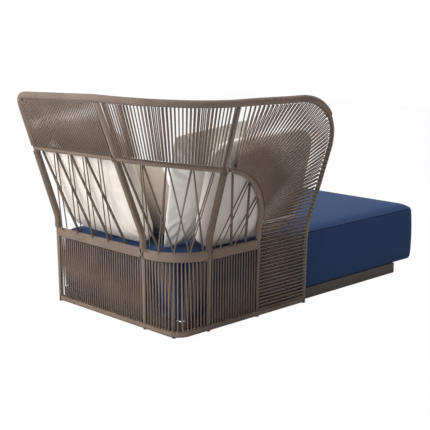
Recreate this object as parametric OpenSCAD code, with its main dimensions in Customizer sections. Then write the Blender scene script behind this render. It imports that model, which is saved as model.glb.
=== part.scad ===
// Rope sunbed: an upholstered lounging base on a low plinth, with a tall shell of
// steel-grey tube and taupe rope round its head end and one long side.
// The head is towards +Y, the covered side is -X and the open side is +X.
// The shell stands upright up to its seat band and leans outwards above it.

/* [Shell plan] */
// Width from the covered side's plane to the free end post
shell_w = 865; // [780:5:940]
// Length from the back plane to the front post of the side wing
wing_l = 820; // [740:5:900]
// Corner radius of the floor ring
ring_r = 60; // [50:5:90]
// Corner radius of the seat band
band_r = 200; // [180:5:215]
// Distance of the corner post in the back from the covered side's plane
corner_post_x = 220; // [210:2:240]
// Distance of the corner post in the side from the back plane
corner_post_y = 180; // [165:1:185]
// Distance of the arch post from the back plane
arch_post_y = 493; // [450:1:530]
// How far the front of the wing swings forward above its lower part
wing_swing = 26; // [15:1:32]
// How far the seat band stands out past the floor ring, at the back
flare_back = 4; // [0:1:8]
// How far the seat band stands out past the floor ring, at the side
flare_side = 11; // [6:1:16]

/* [Shell heights] */
// Height of the seat band's middle
band_z = 350; // [340:1:370]
// Height at which the posts bend outwards
knee_z = 425; // [410:1:440]
// Height of the middle rail at the end post
mid_z_end = 774; // [745:1:795]
// Height of the middle rail at the corner post in the back
mid_z_back = 791; // [760:1:810]
// Height of the middle rail at the corner post in the side
mid_z_side = 739; // [715:1:760]
// Height of the top rail at the end post
top_z_end = 1027; // [1000:1:1050]
// Height of the top rail at the corner post in the back
top_z_back = 1052; // [1020:1:1080]
// Height of the top rail at the corner post in the side
top_z_side = 1031; // [1005:1:1060]
// How much lower the top rail is at the wing's front corner
wing_drop = 6; // [0:1:10]

/* [Shell lean] */
// Outward lean at the end post, in millimetres per millimetre of height
lean_end = 0.327; // [0.28:0.001:0.37]
// Outward lean at the corner post in the back
lean_back = 0.39; // [0.35:0.005:0.42]
// Outward lean of the covered side
lean_side = 0.34; // [0.3:0.005:0.37]
// Bend radius of the tube at the top of the end post
end_bend_r = 50; // [40:1:60]
// Length of the wing's rounded front corner along the rail
wing_bend_l = 300; // [250:5:330]
// Height of the wing's rounded front corner
wing_bend_h = 260; // [220:5:280]

/* [Tubes and rope] */
// Diameter of the tube that runs round the outline
outline_d = 22; // [20:1:25]
// Diameter of the inner posts
post_d = 20; // [18:1:22]
// Diameter of the rod in the middle rail
mid_d = 14; // [12:1:16]
// Diameter of the arch tube
arch_d = 18; // [16:1:20]
// Diameter of the floor ring's tube
ring_d = 18; // [16:1:20]
// Wall of every tube
tube_wall = 2; // [1.5:0.25:2.5]
// Height of the flat bar in the seat band
bar_h = 34; // [30:1:44]
// Thickness of the flat bar in the seat band
bar_t = 8; // [6:1:10]
// Diameter of the rope
rope_d = 6; // [5:0.25:6.5]
// Free space between two pieces that only touch
gap = 0.3; // [0.2:0.05:0.4]
// Spacing of the upright cords below the seat band
base_pitch = 16.5; // [15:0.25:20]
// Spacing of the cords above the middle rail
upper_pitch = 14.5; // [13.5:0.25:18]
// Spacing of the cords across the front of the wing
wing_pitch = 17; // [15:0.25:20]
// Number of cords that fan out from the arch
fan_count = 45; // [30:1:45]
// Spacing of the knots of the open cross lacing in the back
lace_pitch = 118; // [100:2:120]
// Distance of the first knot from the end post
lace_start = 52; // [45:1:60]

/* [Feet] */
// Height of the pads under the floor ring
pad_h = 1.5; // [1:0.5:4]
// Diameter of the pads under the floor ring
pad_d = 20; // [16:1:24]
// Height of the glides under the two end legs
glide_h = 20; // [15:1:30]

/* [Base] */
// Length of the upholstered base
base_l = 1744; // [1500:2:1900]
// Width of the upholstered base
base_w = 880; // [760:5:900]
// Distance of the base from the covered side's plane
base_gap_x = 25; // [22:1:30]
// Distance of the base's head end from the back plane
base_gap_y = 37; // [30:1:60]
// Height of the plinth
plinth_h = 54; // [40:1:80]
// How far the plinth stands back at the foot end
plinth_inset = 176; // [120:2:220]
// How far the plinth stands back at the long sides
plinth_side_inset = 6; // [4:1:12]
// Thickness of the plinth and base boards
board_t = 22; // [18:1:25]
// Height of the base boards
board_h = 190; // [170:2:200]
// Height of the seam round the top of the cover
seam_z = 332; // [328:1:340]
// Height of the crown in the middle of the base
crown_z = 370; // [358:1:378]
// Thickness of the cover cloth and its backing
cloth_t = 3; // [2:0.5:4]
// Thickness of the foam on the sides of the base
side_foam_t = 30; // [28:1:36]
// Thickness of a slat
slat_t = 15; // [12:1:18]
// Width of a slat
slat_w = 70; // [60:2:80]
// Number of slats
slat_count = 14; // [10:1:16]
// How far the sides of the cover bulge between hem and seam
side_bulge = 6; // [2:1:10]
// Corner radius of the cover in the corner of the shell, seen from above
head_r = 95; // [90:1:105]
// Corner radius of the cover at its three other corners
foot_r = 42; // [38:1:60]

/* [Cushions] */
// Width of the cushion that leans on the back
back_w = 700; // [640:5:700]
// Height of the cushion that leans on the back
back_h = 650; // [600:5:655]
// Width of the cushion that leans on the side
side_w = 720; // [680:5:730]
// Height of the cushion that leans on the side
side_h = 575; // [520:5:580]
// Width and height of the tan pillow
tan_w = 430; // [400:5:440]
// Width of the white pillow
white_w = 480; // [440:5:490]
// Height of the white pillow
white_h = 600; // [560:5:610]
// How far each cushion's sides draw in between its corners
draw_in = 0.04; // [0.02:0.01:0.06]
// How far the corners of the two pillows are rounded off
corner_in = 0.07; // [0:0.01:0.08]
// How far the corners of the two big cushions are rounded off
big_corner_in = 0.17; // [0.05:0.01:0.18]

/* [Hidden] */

rope_r = rope_d / 2;
ring_rope_r = ring_d / 2 + rope_d;
mid_rope_r = mid_d / 2 + rope_d;
arch_rope_r = arch_d / 2 + rope_d;
top_rope_r = outline_d / 2 + rope_d;
post_rope_r = post_d / 2 + rope_d;
band_h = bar_h + 2 * rope_d;
band_top_z = band_z + band_h / 2 + gap;
band_t = bar_t + 2 * rope_d;
ring_z = pad_h + ring_rope_r;
tube_sides = 12;

taupe = "#9b8c80";
taupe_dark = "#7d7066";
metal = "#8a7e75";
cream = "#dcd2c8";
tan_cloth = "#b9a48f";
white_cloth = "#ece8e2";
navy = "#22384f";
wood = "#a98a63";
plinth_brown = "#3f3833";
foam_yellow = "#e6d9a8";
dark_plastic = "#3a3a3c";

// A smooth step from 0 to 1 with level ends
function smooth(t) = let (c = min(max(t, 0), 1)) c * c * (3 - 2 * c);

// Seat band's centre line, as a path length from the end post: back, corner arc, side
arc_cx = band_r - flare_side;
arc_cy = flare_back - band_r;
back_len = shell_w - arc_cx;
arc_len = band_r * PI / 2;
function arc_angle(s) = min(max((s - back_len) / band_r * 180 / PI, 0), 90);
function side_run(s) = max(s - back_len - arc_len, 0);
function normal_at(s) = let (a = arc_angle(s)) [-sin(a), cos(a), 0];
function band_at(s) =
    s <= back_len ? [shell_w - s, flare_back]
    : [arc_cx - band_r * sin(arc_angle(s)), arc_cy + band_r * cos(arc_angle(s)) - side_run(s)];
function station_at_y(y) =
    y > arc_cy ? back_len + band_r * acos((y - arc_cy) / band_r) * PI / 180
    : back_len + arc_len + arc_cy - y;

// Stations of the posts along that path
s_end = 0;
s_back = shell_w - corner_post_x;
s_side = station_at_y(-corner_post_y);
s_arch = station_at_y(-arch_post_y);
s_front = station_at_y(-wing_l);

// A value that changes evenly along the back and smoothly round the corner
function keyed(s, at_end, at_back, at_side) =
    s < s_back ? at_end + (at_back - at_end) * s / s_back
    : at_back + (at_side - at_back) * smooth((s - s_back) / (s_side - s_back));
function lean_at(s) = keyed(s, lean_end, lean_back, lean_side);
function top_z_at(s) =
    keyed(s, top_z_end, top_z_back, top_z_side) - wing_drop * smooth((s - s_side) / (wing_top_s - s_side));
function mid_z_at(s) =
    s < s_back ? mid_z_end + (mid_z_back - mid_z_end) * s / s_back
    : mid_z_back + (mid_z_side - mid_z_back) * pow((s - s_back) / (s_side - s_back), 2);

// A point of the leaning shell above the knee, and of the upright one between knee and band
function shell_at(s, z, out = 0) =
    let (b = band_at(s), n = normal_at(s), d = lean_at(s) * max(z - knee_z, 0) + out)
    [b[0] + n[0] * d, b[1] + n[1] * d, z];

// A point that stands off the leaning panel, square to it
function off_panel(s, z, e) =
    let (a = atan(lean_at(s)), n = normal_at(s))
    shell_at(s, z) + e * [n[0] * cos(a), n[1] * cos(a), -sin(a)];

// Floor ring's centre line at the same station
ring_corner_len = corner_post_x + corner_post_y - 2 * ring_r + ring_r * PI / 2;
function ring_corner(l) =
    let (a = corner_post_x - ring_r, t = min(max((l - a) / ring_r * 180 / PI, 0), 90))
    l < a ? [corner_post_x - l, 0]
    : [ring_r - ring_r * sin(t), -ring_r + ring_r * cos(t) - max(l - a - ring_r * PI / 2, 0)];
function ring_normal(l) =
    let (a = corner_post_x - ring_r, t = min(max((l - a) / ring_r * 180 / PI, 0), 90))
    [-sin(t), cos(t), 0];
function corner_share(s) = (s - s_back) / (s_side - s_back) * ring_corner_len;
function ring_at(s) =
    s <= s_back ? [shell_w - s, 0]
    : s < s_side ? ring_corner(corner_share(s))
    : [0, band_at(s)[1]];
function ring_out(s) = s > s_back && s < s_side ? ring_normal(corner_share(s)) : normal_at(s);
function ring_point(s, out = 0) =
    let (g = ring_at(s), n = ring_out(s)) [g[0] + n[0] * out, g[1] + n[1] * out, ring_z];
function band_point(s, out = 0, z = band_z) = shell_at(s, z, out);

// Arch from the side's corner post down to the arch post: a superellipse on the leaning side
arch_power = 1.08;
arch_a = arch_post_y - corner_post_y;
arch_b = mid_z_side - knee_z;
function arch_point(f, e = 0) =
    let (q = 90 * f, y = -corner_post_y - arch_a * pow(sin(q), arch_power),
         z = knee_z + arch_b * pow(cos(q), arch_power))
    off_panel(station_at_y(y), z, e);

// Outline tube above the knee: up the end post, round the bend, along the top, down the wing
swing_low = band_z - 35;
swing_high = knee_z + 35;
function swing_at(z) = wing_swing * smooth((z - swing_low) / (swing_high - swing_low));
function front_s(z) = s_front + swing_at(z);
wing_top_s = s_front + wing_swing - wing_bend_l;
wing_bend_z = top_z_side - wing_drop - wing_bend_h;
function end_bend(q) =
    [end_bend_r * (1 - cos(q)), top_z_end - end_bend_r + end_bend_r * sin(q)];
function wing_bend(q) =
    [wing_top_s + wing_bend_l * sin(q), wing_bend_z + wing_bend_h * cos(q)];
// Outer edge of the wing from the side's corner post (f = 0) to the knee of the front post (f = 1)
wing_top_run = wing_top_s - s_side;
wing_bend_run = PI / 2 * sqrt((pow(wing_bend_l, 2) + pow(wing_bend_h, 2)) / 2);
wing_front_run = wing_bend_z - knee_z;
wing_run = wing_top_run + wing_bend_run + wing_front_run;
function wing_edge(f) =
    let (l = f * wing_run)
    l < wing_top_run ? [s_side + l, top_z_at(s_side + l)]
    : l < wing_top_run + wing_bend_run ? wing_bend(90 * (l - wing_top_run) / wing_bend_run)
    : let (z = wing_bend_z - (l - wing_top_run - wing_bend_run)) [front_s(z), z];

// A tube leaves the upright line this far below the knee and is in the leaning line as far above it
knee_soft = 24;
function knee_out(s, z) =
    lean_at(s) * (z < knee_z ? max(z - knee_z + knee_soft, 0) / 4 : (knee_soft - (z - knee_z)) / 4);
top_rings = [for (i = [1:7]) end_bend_r + (s_back - end_bend_r) * i / 7];
corner_rings = [for (i = [1:11]) s_back + (s_side - s_back) * i / 11];
side_rings = [for (i = [1:3]) s_side + (wing_top_s - s_side) * i / 3];
outline_upper = concat(
    [for (z = [knee_z + knee_soft, mid_z_end, top_z_end - 2 * end_bend_r]) [0, z]],
    [for (q = [0:22.5:90]) end_bend(q)],
    [for (s = concat(top_rings, corner_rings, side_rings)) [s, top_z_at(s)]],
    [for (q = [10:10:90]) wing_bend(q)],
    [for (z = [(wing_bend_z + knee_z) / 2, knee_z + knee_soft]) [front_s(z), z]]
);
function leg_point(s, z) =
    let (g = ring_point(s), b = band_point(s), t = min((z - ring_z) / (band_z - ring_z), 1))
    [g[0] + (b[0] - g[0]) * t, g[1] + (b[1] - g[1]) * t, z];
function leg_points(s, z_low) = [for (z = [z_low, band_z, knee_z - knee_soft]) leg_point(s, z)];
function reversed(list) = [for (i = [len(list) - 1:-1:0]) list[i]];
leg_z = glide_h + gap;
end_knee = [shell_at(s_end, knee_z, knee_out(s_end, knee_z))];
front_knee = [shell_at(front_s(knee_z), knee_z, knee_out(s_front, knee_z))];
front_leg = [
    for (z = [knee_z - knee_soft, (band_z + knee_z) / 2, band_z, swing_low, leg_z])
        leg_point(s_front, z) - [0, swing_at(z), 0]
];
outline_path = concat(
    leg_points(s_end, leg_z), end_knee,
    [for (p = outline_upper) shell_at(p[0], p[1])],
    front_knee, front_leg
);
outline_out = concat(
    [for (i = [0:3]) normal_at(s_end)],
    [for (p = outline_upper) normal_at(p[0])],
    [for (i = [0:len(front_leg)]) normal_at(s_front)]
);
rope_end_q = 50;
rope_start_z = top_z_end - end_bend_r - 5;
top_rope_upper = concat(
    [[0, rope_start_z]], [for (q = [0:22.5:90]) end_bend(q)],
    [for (s = concat(top_rings, corner_rings, side_rings)) [s, top_z_at(s)]],
    [for (q = [10:10:rope_end_q]) wing_bend(q)]
);

// Where a cushion's grid runs, from -1 to 1 along each side, and how far from its middle
cushion_steps = 14;
cushion_grid = [for (i = [0:cushion_steps]) sin((2 * i / cushion_steps - 1) * 90)];
function pillow_line(size, u, v, rounded) =
    size / 2 * u * (1 - draw_in * (1 - v * v) - rounded * pow(u * v, 4));

// The cushion in the back stands out past the end post
back_past_end = 56;
back_roll = -2;
back_at = [shell_w + back_past_end - back_w / 2, -104];

// The finished part stands with its origin under the middle of its bounding box
x_low = min([for (p = top_rope_upper) shell_at(p[0], p[1])[0]]) - top_rope_r;
back_edge = [for (v = cushion_grid)
    back_at[0] + pillow_line(back_w, 1, v, big_corner_in) * cos(back_roll)
    + (back_h / 2 + pillow_line(back_h, v, 1, big_corner_in)) * sin(back_roll)];
x_high = max(shell_w + top_rope_r, base_gap_x + base_w, max(back_edge));
y_high = max([for (p = top_rope_upper) shell_at(p[0], p[1])[1]]) + top_rope_r;
y_low = -base_gap_y - base_l;
centre_x = (x_low + x_high) / 2;
centre_y = (y_low + y_high) / 2;
module placed() {
    translate([-centre_x, -centre_y, 0]) children();
}

function unit(v) = v / norm(v);

// A round tube swept along a path, its rings turned by the outward direction at each point
module swept_tube(path, out, r, bore = 0, sides = tube_sides) {
    n = len(path);
    radii = bore > 0 ? [r, bore] : [r];
    tangents = [for (i = [0:n - 1]) unit(path[min(i + 1, n - 1)] - path[max(i - 1, 0)])];
    pts = [
        for (q = radii, i = [0:n - 1], k = [0:sides - 1])
            let (t = tangents[i], b = unit(cross(t, out[i])), m = cross(b, t), a = 360 * k / sides)
            path[i] + q * (cos(a) * m + sin(a) * b)
    ];
    function id(layer, i, k) = layer * n * sides + i * sides + (k % sides);
    skin = [for (i = [0:n - 2], k = [0:sides - 1]) each [
        [id(0, i, k), id(0, i, k + 1), id(0, i + 1, k + 1)],
        [id(0, i, k), id(0, i + 1, k + 1), id(0, i + 1, k)]
    ]];
    lining = bore > 0 ? [for (i = [0:n - 2], k = [0:sides - 1]) each [
        [id(1, i, k), id(1, i + 1, k + 1), id(1, i, k + 1)],
        [id(1, i, k), id(1, i + 1, k), id(1, i + 1, k + 1)]
    ]] : [];
    ends = bore > 0 ? [for (k = [0:sides - 1]) each [
        [id(0, 0, k), id(1, 0, k), id(1, 0, k + 1)],
        [id(0, 0, k), id(1, 0, k + 1), id(0, 0, k + 1)],
        [id(0, n - 1, k), id(0, n - 1, k + 1), id(1, n - 1, k + 1)],
        [id(0, n - 1, k), id(1, n - 1, k + 1), id(1, n - 1, k)]
    ]] : [
        [for (k = [sides - 1:-1:0]) id(0, 0, k)],
        [for (k = [0:sides - 1]) id(0, n - 1, k)]
    ];
    polyhedron(points = pts, faces = [for (f = concat(skin, lining, ends)) reversed(f)]);
}

// A straight round bar between two points, cut back by a length at each end
module bar_between(a, b, r, cut_a = 0, cut_b = 0, bore = 0) {
    d = b - a;
    l = norm(d);
    translate(a + d / l * cut_a)
        rotate([0, acos(d[2] / l), atan2(d[1], d[0])])
            difference() {
                cylinder(h = l - cut_a - cut_b, r = r, $fn = 32);
                if (bore > 0) translate([0, 0, -1]) cylinder(h = l + 2, r = bore, $fn = 32);
            }
}
module cord(a, b, cut_a = 0, cut_b = 0) {
    bar_between(a, b, rope_r, cut_a, cut_b);
}
// How far a cord in the rope layer of a rail has to stop before the rail's middle.
// A cord that meets the rail at a slant stops earlier.
function rail_cut(rail_r) = sqrt(pow(rail_r, 2) - pow(rail_r - rope_d, 2)) + gap;
function slant_cut(rail_r, cord_dir, rail_dir) =
    let (c = min(abs(unit(cord_dir) * unit(rail_dir)), 0.9), q = sqrt(1 - c * c),
         square = rail_cut(rail_r), level = sqrt(pow(rail_r + rope_r, 2) - pow(rail_r - rope_r, 2)) + gap)
    (square + (level - square) * c) / q;

// Floor ring: outline between the two end legs, filled as a swept circle
ring_start = outline_d / 2 + gap;
module ring_tube(r, bore, start) {
    back = shell_w - start - ring_r;
    side = wing_l - start - ring_r;
    translate([0, 0, ring_z]) {
        translate([ring_r, 0, 0]) rotate([0, 90, 0]) difference() {
            cylinder(h = back, r = r, $fn = 48);
            translate([0, 0, -1]) cylinder(h = back + 2, r = bore, $fn = 48);
        }
        translate([0, -ring_r, 0]) rotate([90, 0, 0]) difference() {
            cylinder(h = side, r = r, $fn = 48);
            translate([0, 0, -1]) cylinder(h = side + 2, r = bore, $fn = 48);
        }
        translate([ring_r, -ring_r, 0]) rotate([0, 0, 90])
            rotate_extrude(angle = 90, $fn = 96) translate([ring_r, 0]) difference() {
                circle(r = r, $fn = 48);
                circle(r = bore, $fn = 48);
            }
    }
}
module floor_ring_tube() {
    color(metal) ring_tube(ring_d / 2, ring_d / 2 - tube_wall, ring_start);
}
module floor_ring_rope() {
    color(taupe) ring_tube(ring_rope_r, ring_d / 2, ring_start);
}
module floor_pads() {
    stations = [s_back, (s_back + s_side) / 2, s_side, s_arch];
    color(dark_plastic) for (s = stations) translate([ring_at(s)[0], ring_at(s)[1], 0])
        cylinder(h = pad_h, d = pad_d, $fn = 48);
}
module end_glides() {
    color(dark_plastic) for (s = [s_end, s_front]) translate([ring_at(s)[0], ring_at(s)[1], 0])
        cylinder(h = glide_h, d = outline_d, $fn = 48);
}

// Outline tube and posts
module outline_tube() {
    r = outline_d / 2;
    color(metal) swept_tube(outline_path, outline_out, r, r - tube_wall);
}
lean_gap = 1.5;
post_foot_z = ring_z + ring_rope_r + gap;
function post_path(s) = let (z1 = top_z_at(s), cut = (top_rope_r + gap) * cos(atan(lean_at(s)))) concat(
    leg_points(s, post_foot_z), [shell_at(s, knee_z, knee_out(s, knee_z))],
    [for (z = [knee_z + knee_soft, z1 - cut - lean_gap]) shell_at(s, z)]
);
module post(s) {
    path = post_path(s);
    color(metal) swept_tube(path, [for (p = path) normal_at(s)], post_d / 2, post_d / 2 - tube_wall);
}
module back_corner_post() { post(s_back); }
module side_corner_post() { post(s_side); }

arch_start = 0.055;
arch_steps = 14;
arch_curve = [for (i = [0:arch_steps]) arch_point(arch_start + (1 - arch_start) * i / arch_steps)];
arch_path = concat(arch_curve, reversed(leg_points(s_arch, post_foot_z)));
arch_out = [for (p = arch_path) normal_at(s_arch)];
module arch_tube() {
    color(metal) swept_tube(arch_path, arch_out, arch_d / 2, arch_d / 2 - tube_wall);
}

// Flat bar and rope of the seat band, in three lengths between the posts
module band_outline(s0, s1, t, past_ends = 0) {
    steps = 12;
    ends = past_ends > 0 ? [s0 - past_ends, s1 + past_ends] : [];
    between = [for (i = [0:steps]) s0 + (s1 - s0) * i / steps];
    stations = past_ends > 0 ? concat([ends[0]], between, [ends[1]]) : between;
    outer = [for (s = stations) let (p = band_point(s, t / 2)) [p[0], p[1]]];
    inner = [for (s = stations) let (p = band_point(s, -t / 2)) [p[0], p[1]]];
    polygon(concat(outer, reversed(inner)));
}
module band_length(s0, s1, t, h, hole_t = 0, hole_h = 0) {
    difference() {
        translate([0, 0, band_z - h / 2]) linear_extrude(h) band_outline(s0, s1, t);
        if (hole_t > 0) translate([0, 0, band_z - hole_h / 2])
            linear_extrude(hole_h) band_outline(s0, s1, hole_t, 1);
    }
}
post_clear = post_d / 2 + gap;
outline_clear = outline_d / 2 + gap;
arch_clear = arch_d / 2 + gap;
back_span = [s_end + outline_clear, s_back - post_clear];
corner_span = [s_back + post_clear, s_side - post_clear];
side_span = [s_side + post_clear, s_arch - arch_clear];
module seat_bar(span) {
    color(metal) band_length(span[0], span[1], bar_t, bar_h);
}
module seat_band_rope(span) {
    color(taupe) band_length(span[0], span[1], band_t, band_h, bar_t, bar_h);
}

// Middle rail between the posts
module mid_run(span, r, bore) {
    steps = span[0] < s_back ? 4 : 11;
    stations = [for (i = [0:steps]) span[0] + (span[1] - span[0]) * i / steps];
    swept_tube([for (s = stations) shell_at(s, mid_z_at(s))], [for (s = stations) normal_at(s)],
        r, bore);
}
mid_back_span = [s_end + outline_clear + lean_gap, s_back - post_clear - lean_gap];
mid_corner_span = [s_back + post_clear + lean_gap, s_side - post_clear - lean_gap];
module mid_rod(span) {
    color(metal) mid_run(span, mid_d / 2, 0);
}
module mid_rope(span) {
    color(taupe) mid_run(span, mid_rope_r, mid_d / 2 + gap / 2);
}
module arch_rope() {
    foot = [[band_at(s_arch)[0], band_at(s_arch)[1], band_top_z]];
    path = concat([for (i = [1:arch_steps]) arch_curve[i]], foot);
    color(taupe) swept_tube(path, [for (p = path) normal_at(s_arch)], arch_rope_r, arch_d / 2 + gap / 2);
}
module top_rail_rope() {
    color(taupe) swept_tube([for (p = top_rope_upper) shell_at(p[0], p[1])],
        [for (p = top_rope_upper) normal_at(p[0])], top_rope_r, outline_d / 2 + gap / 2);
}

// Rope wound round the posts from the seat band up to the middle rail,
// and round the end post also from there up to the rope of the top rail
function rail_room(s) = (mid_rope_r + lean_gap) * cos(atan(lean_at(s)));
module winding(s, path, r, bore) {
    color(taupe_dark) swept_tube(path, [for (p = path) normal_at(s)], r, bore);
}
module post_rope(s, z_low, r, bore) {
    winding(s, concat(
        [for (z = [z_low, knee_z - knee_soft]) leg_point(s, z)],
        [shell_at(s, knee_z, knee_out(s, knee_z))],
        [for (z = [knee_z + knee_soft, mid_z_at(s) - rail_room(s)]) shell_at(s, z)]
    ), r, bore);
}
turns = 3;
bound_z = band_top_z + turns * (rope_d + gap);
module post_ropes() {
    end_bore = outline_d / 2 + gap / 2;
    end_upper = [for (z = [mid_z_end + rail_room(s_end), rope_start_z - gap]) shell_at(s_end, z)];
    post_rope(s_end, band_top_z, top_rope_r, end_bore);
    winding(s_end, end_upper, top_rope_r, end_bore);
    for (s = [s_back, s_side]) post_rope(s, bound_z, post_rope_r, post_d / 2 + gap / 2);
}
// Three turns of rope that lash each corner post to the ends of the seat band
binding_r = post_d / 2 + rope_r + gap;
module post_bindings() {
    color(taupe_dark) for (s = [s_back, s_side], i = [0:turns - 1])
        translate([band_at(s)[0], band_at(s)[1], band_top_z + rope_r + i * (rope_d + gap)])
            rotate_extrude($fn = 64) translate([binding_r, 0]) circle(r = rope_r, $fn = 24);
}

// Upright cords below the seat band, in an outer and an inner layer
side_layers = [1, -1];
bar_layer = bar_t / 2 + rope_r;
ring_layer = ring_d / 2 + rope_r;
cord_clear = outline_d / 2 + rope_r + gap;
slant_room = 0.6;
// Evenly spread stations, or with a crowd closer together at s0 than at s1
function spread(s0, s1, pitch, crowd = 0) =
    let (n = max(round((s1 - s0) / pitch), 1))
    [for (i = [0:n]) let (f = i / n) s0 + (s1 - s0) * f * (1 - crowd * (1 - f))];
module base_cords(s0, s1) {
    cut = rail_cut(ring_rope_r) + 1.5 * slant_room;
    low = band_z - band_h / 2 - gap;
    color(taupe) for (s = spread(s0 + cord_clear, s1 - cord_clear, base_pitch), k = side_layers) {
        a = ring_point(s, k * ring_layer);
        b = band_point(s, k * bar_layer, low);
        cord(a, b, cut, slant_room / 2);
    }
}
// Cords across the front of the wing, up to the knee
module wing_front_cords() {
    edge_layer = outline_d / 2 + rope_r + gap;
    low = ring_z + ring_rope_r + rope_d;
    n = floor((knee_z + wing_pitch / 2 - low) / wing_pitch);
    color(taupe) for (i = [0:n], k = side_layers) {
        z = low + i * wing_pitch;
        x = shell_at(s_arch, z)[0] + flare_side * max(band_z - z, 0) / (band_z - ring_z);
        roped = z > band_z + band_h / 2 - rope_r;
        post_layer = arch_d / 2 + rope_r + (roped ? 0 : gap);
        cord([x - k * post_layer, -arch_post_y, z],
            [x - knee_out(s_front, z) - k * edge_layer, -wing_l - swing_at(z), z],
            roped ? rail_cut(arch_rope_r) : 0);
    }
}

// Open cross lacing between the seat band and the middle rail.
// Cords that lean one way lie in the rope layer, and those that lean the other way pass over them.
mid_layer = mid_d / 2 + rope_r;
over_band = band_t / 2 + rope_r + gap;
lace_foot_cut = 1.2;
// The two layers meet closely under the rail, where the cords that lean forwards
// start this far beside the cords that lean back
lace_top = rope_r + gap;
lace_foot = rope_r + 1;
lace_beside = rope_r + gap / 2;
lace_overlap = 8;
// How far a cord that ends under a rail has to stop before the rail's middle
function under_cut(rail_r, cord_dir, rail_dir) =
    let (c = min(abs(unit(cord_dir) * unit(rail_dir)), 0.9)) (rail_r + gap + rope_r * c) / sqrt(1 - c * c);
function rail_point(top, e) =
    is_list(top) ? arch_point(top[0], e) : off_panel(top, mid_z_at(top), e);
function rail_dir_at(top) = is_list(top)
    ? arch_point(top[0] + 0.01) - arch_point(top[0] - 0.01)
    : shell_at(top + 1, mid_z_at(top + 1)) - shell_at(top - 1, mid_z_at(top - 1));
module lacing(tops, feet, rail_r) {
    n = len(tops);
    color(taupe) for (i = [0:n - 1], k = side_layers) {
        way = rail_dir_at(tops[i]);
        beside = unit(way) * lace_beside;
        if (i < n - 1) {
            a = rail_point(tops[i], k * lace_top) + beside;
            b = shell_at(feet[i + 1], band_top_z, k * lace_foot);
            cord(a, b, under_cut(rail_r, b - a, way), lace_foot_cut);
        }
        if (i > 0) {
            a = rail_point(tops[i], k * 2 * lace_top) - beside;
            b = shell_at(feet[i - 1], k > 0 ? band_top_z - lace_overlap : band_top_z, k * over_band);
            cord(a, b, under_cut(rail_r, b - a, way));
        }
    }
}
lace_back = [for (s = [s_end + lace_start:lace_pitch:s_back - lace_start / 2]) s];
// Where the other knots lie, as shares of the corner, of the arch and of the side's band
corner_knots = [0.1, 0.3, 0.5, 0.7, 0.9];
arch_knots = [0.09, 0.37, 0.62];
side_knots = [0.14, 0.43, 0.72];
lace_corner = [for (t = corner_knots) s_back + (s_side - s_back) * t];
lace_side_top = [for (t = arch_knots) [t]];
lace_side_foot = [for (t = side_knots) s_side + (s_arch - s_side) * t];
module lacing_back() { lacing(lace_back, lace_back, mid_rope_r); }
module lacing_corner() { lacing(lace_corner, lace_corner, mid_rope_r); }
module lacing_side() { lacing(lace_side_top, lace_side_foot, arch_rope_r); }

// Close cords between the middle rail and the top rail
top_layer = outline_d / 2 + rope_r;
bend_room = 3;
// Height of the outline tube's middle, down into its bend at the end post
function edge_z_at(s) =
    s < end_bend_r ? top_z_end - end_bend_r + sqrt(pow(end_bend_r, 2) - pow(end_bend_r - s, 2))
    : top_z_at(s);
module upper_cords(s0, s1, pitch, crowd = 0) {
    first = s0 + (s0 == s_end ? top_rope_r + rope_r + gap : cord_clear);
    color(taupe) for (s = spread(first, s1 - cord_clear, pitch, crowd), k = side_layers) {
        a = off_panel(s, mid_z_at(s), k * mid_layer);
        b = off_panel(s, edge_z_at(s), k * top_layer);
        rail_dir = shell_at(s + 1, edge_z_at(s + 1)) - shell_at(s - 1, edge_z_at(s - 1));
        cord(a, b, rail_cut(mid_rope_r),
            slant_cut(top_rope_r, b - a, rail_dir) + (s < end_bend_r ? bend_room : gap));
    }
}
corner_upper_pitch = 7.7;
corner_upper_crowd = 0.15;
// Cords that fan out from the arch to the edge of the wing
arch_layer = arch_d / 2 + rope_r;
fan_first = 0.13;
fan_last = 0.925;
module wing_fan_cords() {
    edge_layer = outline_d / 2 + rope_r + gap;
    rope_end_f = (wing_top_run + wing_bend_run * rope_end_q / 90) / wing_run;
    fan_bias = 0.2;
    edge_first = 0.035;
    edge_last = 0.975;
    h = 0.01;
    color(taupe) for (i = [0:fan_count - 1], k = side_layers) {
        f = i / (fan_count - 1);
        g = edge_first + (edge_last - edge_first) * f * (1 + fan_bias * (1 - f));
        q = fan_first + (fan_last - fan_first) * f;
        edge = [for (t = [g - h, g, g + h]) wing_edge(t)];
        roped = g < rope_end_f + 0.02;
        a = arch_point(q, k * arch_layer);
        b = off_panel(edge[1][0], edge[1][1], k * (roped ? top_layer : edge_layer));
        arch_dir = arch_point(q + h) - arch_point(q - h);
        edge_dir = shell_at(edge[2][0], edge[2][1]) - shell_at(edge[0][0], edge[0][1]);
        cord(a, b, slant_cut(arch_rope_r, b - a, arch_dir),
            roped ? slant_cut(top_rope_r, b - a, edge_dir) : 0);
    }
}

// Plinth
plinth_x0 = base_gap_x + plinth_side_inset;
plinth_x1 = base_gap_x + base_w - plinth_side_inset;
plinth_y1 = -base_gap_y - plinth_side_inset;
plinth_y0 = y_low + plinth_inset;
module plinth_side(x) {
    color(plinth_brown) difference() {
        translate([x, plinth_y0 + board_t, 0])
            cube([board_t, plinth_y1 - plinth_y0 - 2 * board_t, plinth_h]);
        screw_shanks();
    }
}
module plinth_left_board() { plinth_side(plinth_x1 - board_t); }
module plinth_right_board() { plinth_side(plinth_x0); }
module plinth_end(y) {
    color(plinth_brown) difference() {
        translate([plinth_x0, y, 0]) cube([plinth_x1 - plinth_x0, board_t, plinth_h]);
        screw_shanks();
    }
}
module plinth_head_board() { plinth_end(plinth_y1 - board_t); }
module plinth_foot_board() { plinth_end(plinth_y0); }

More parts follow.
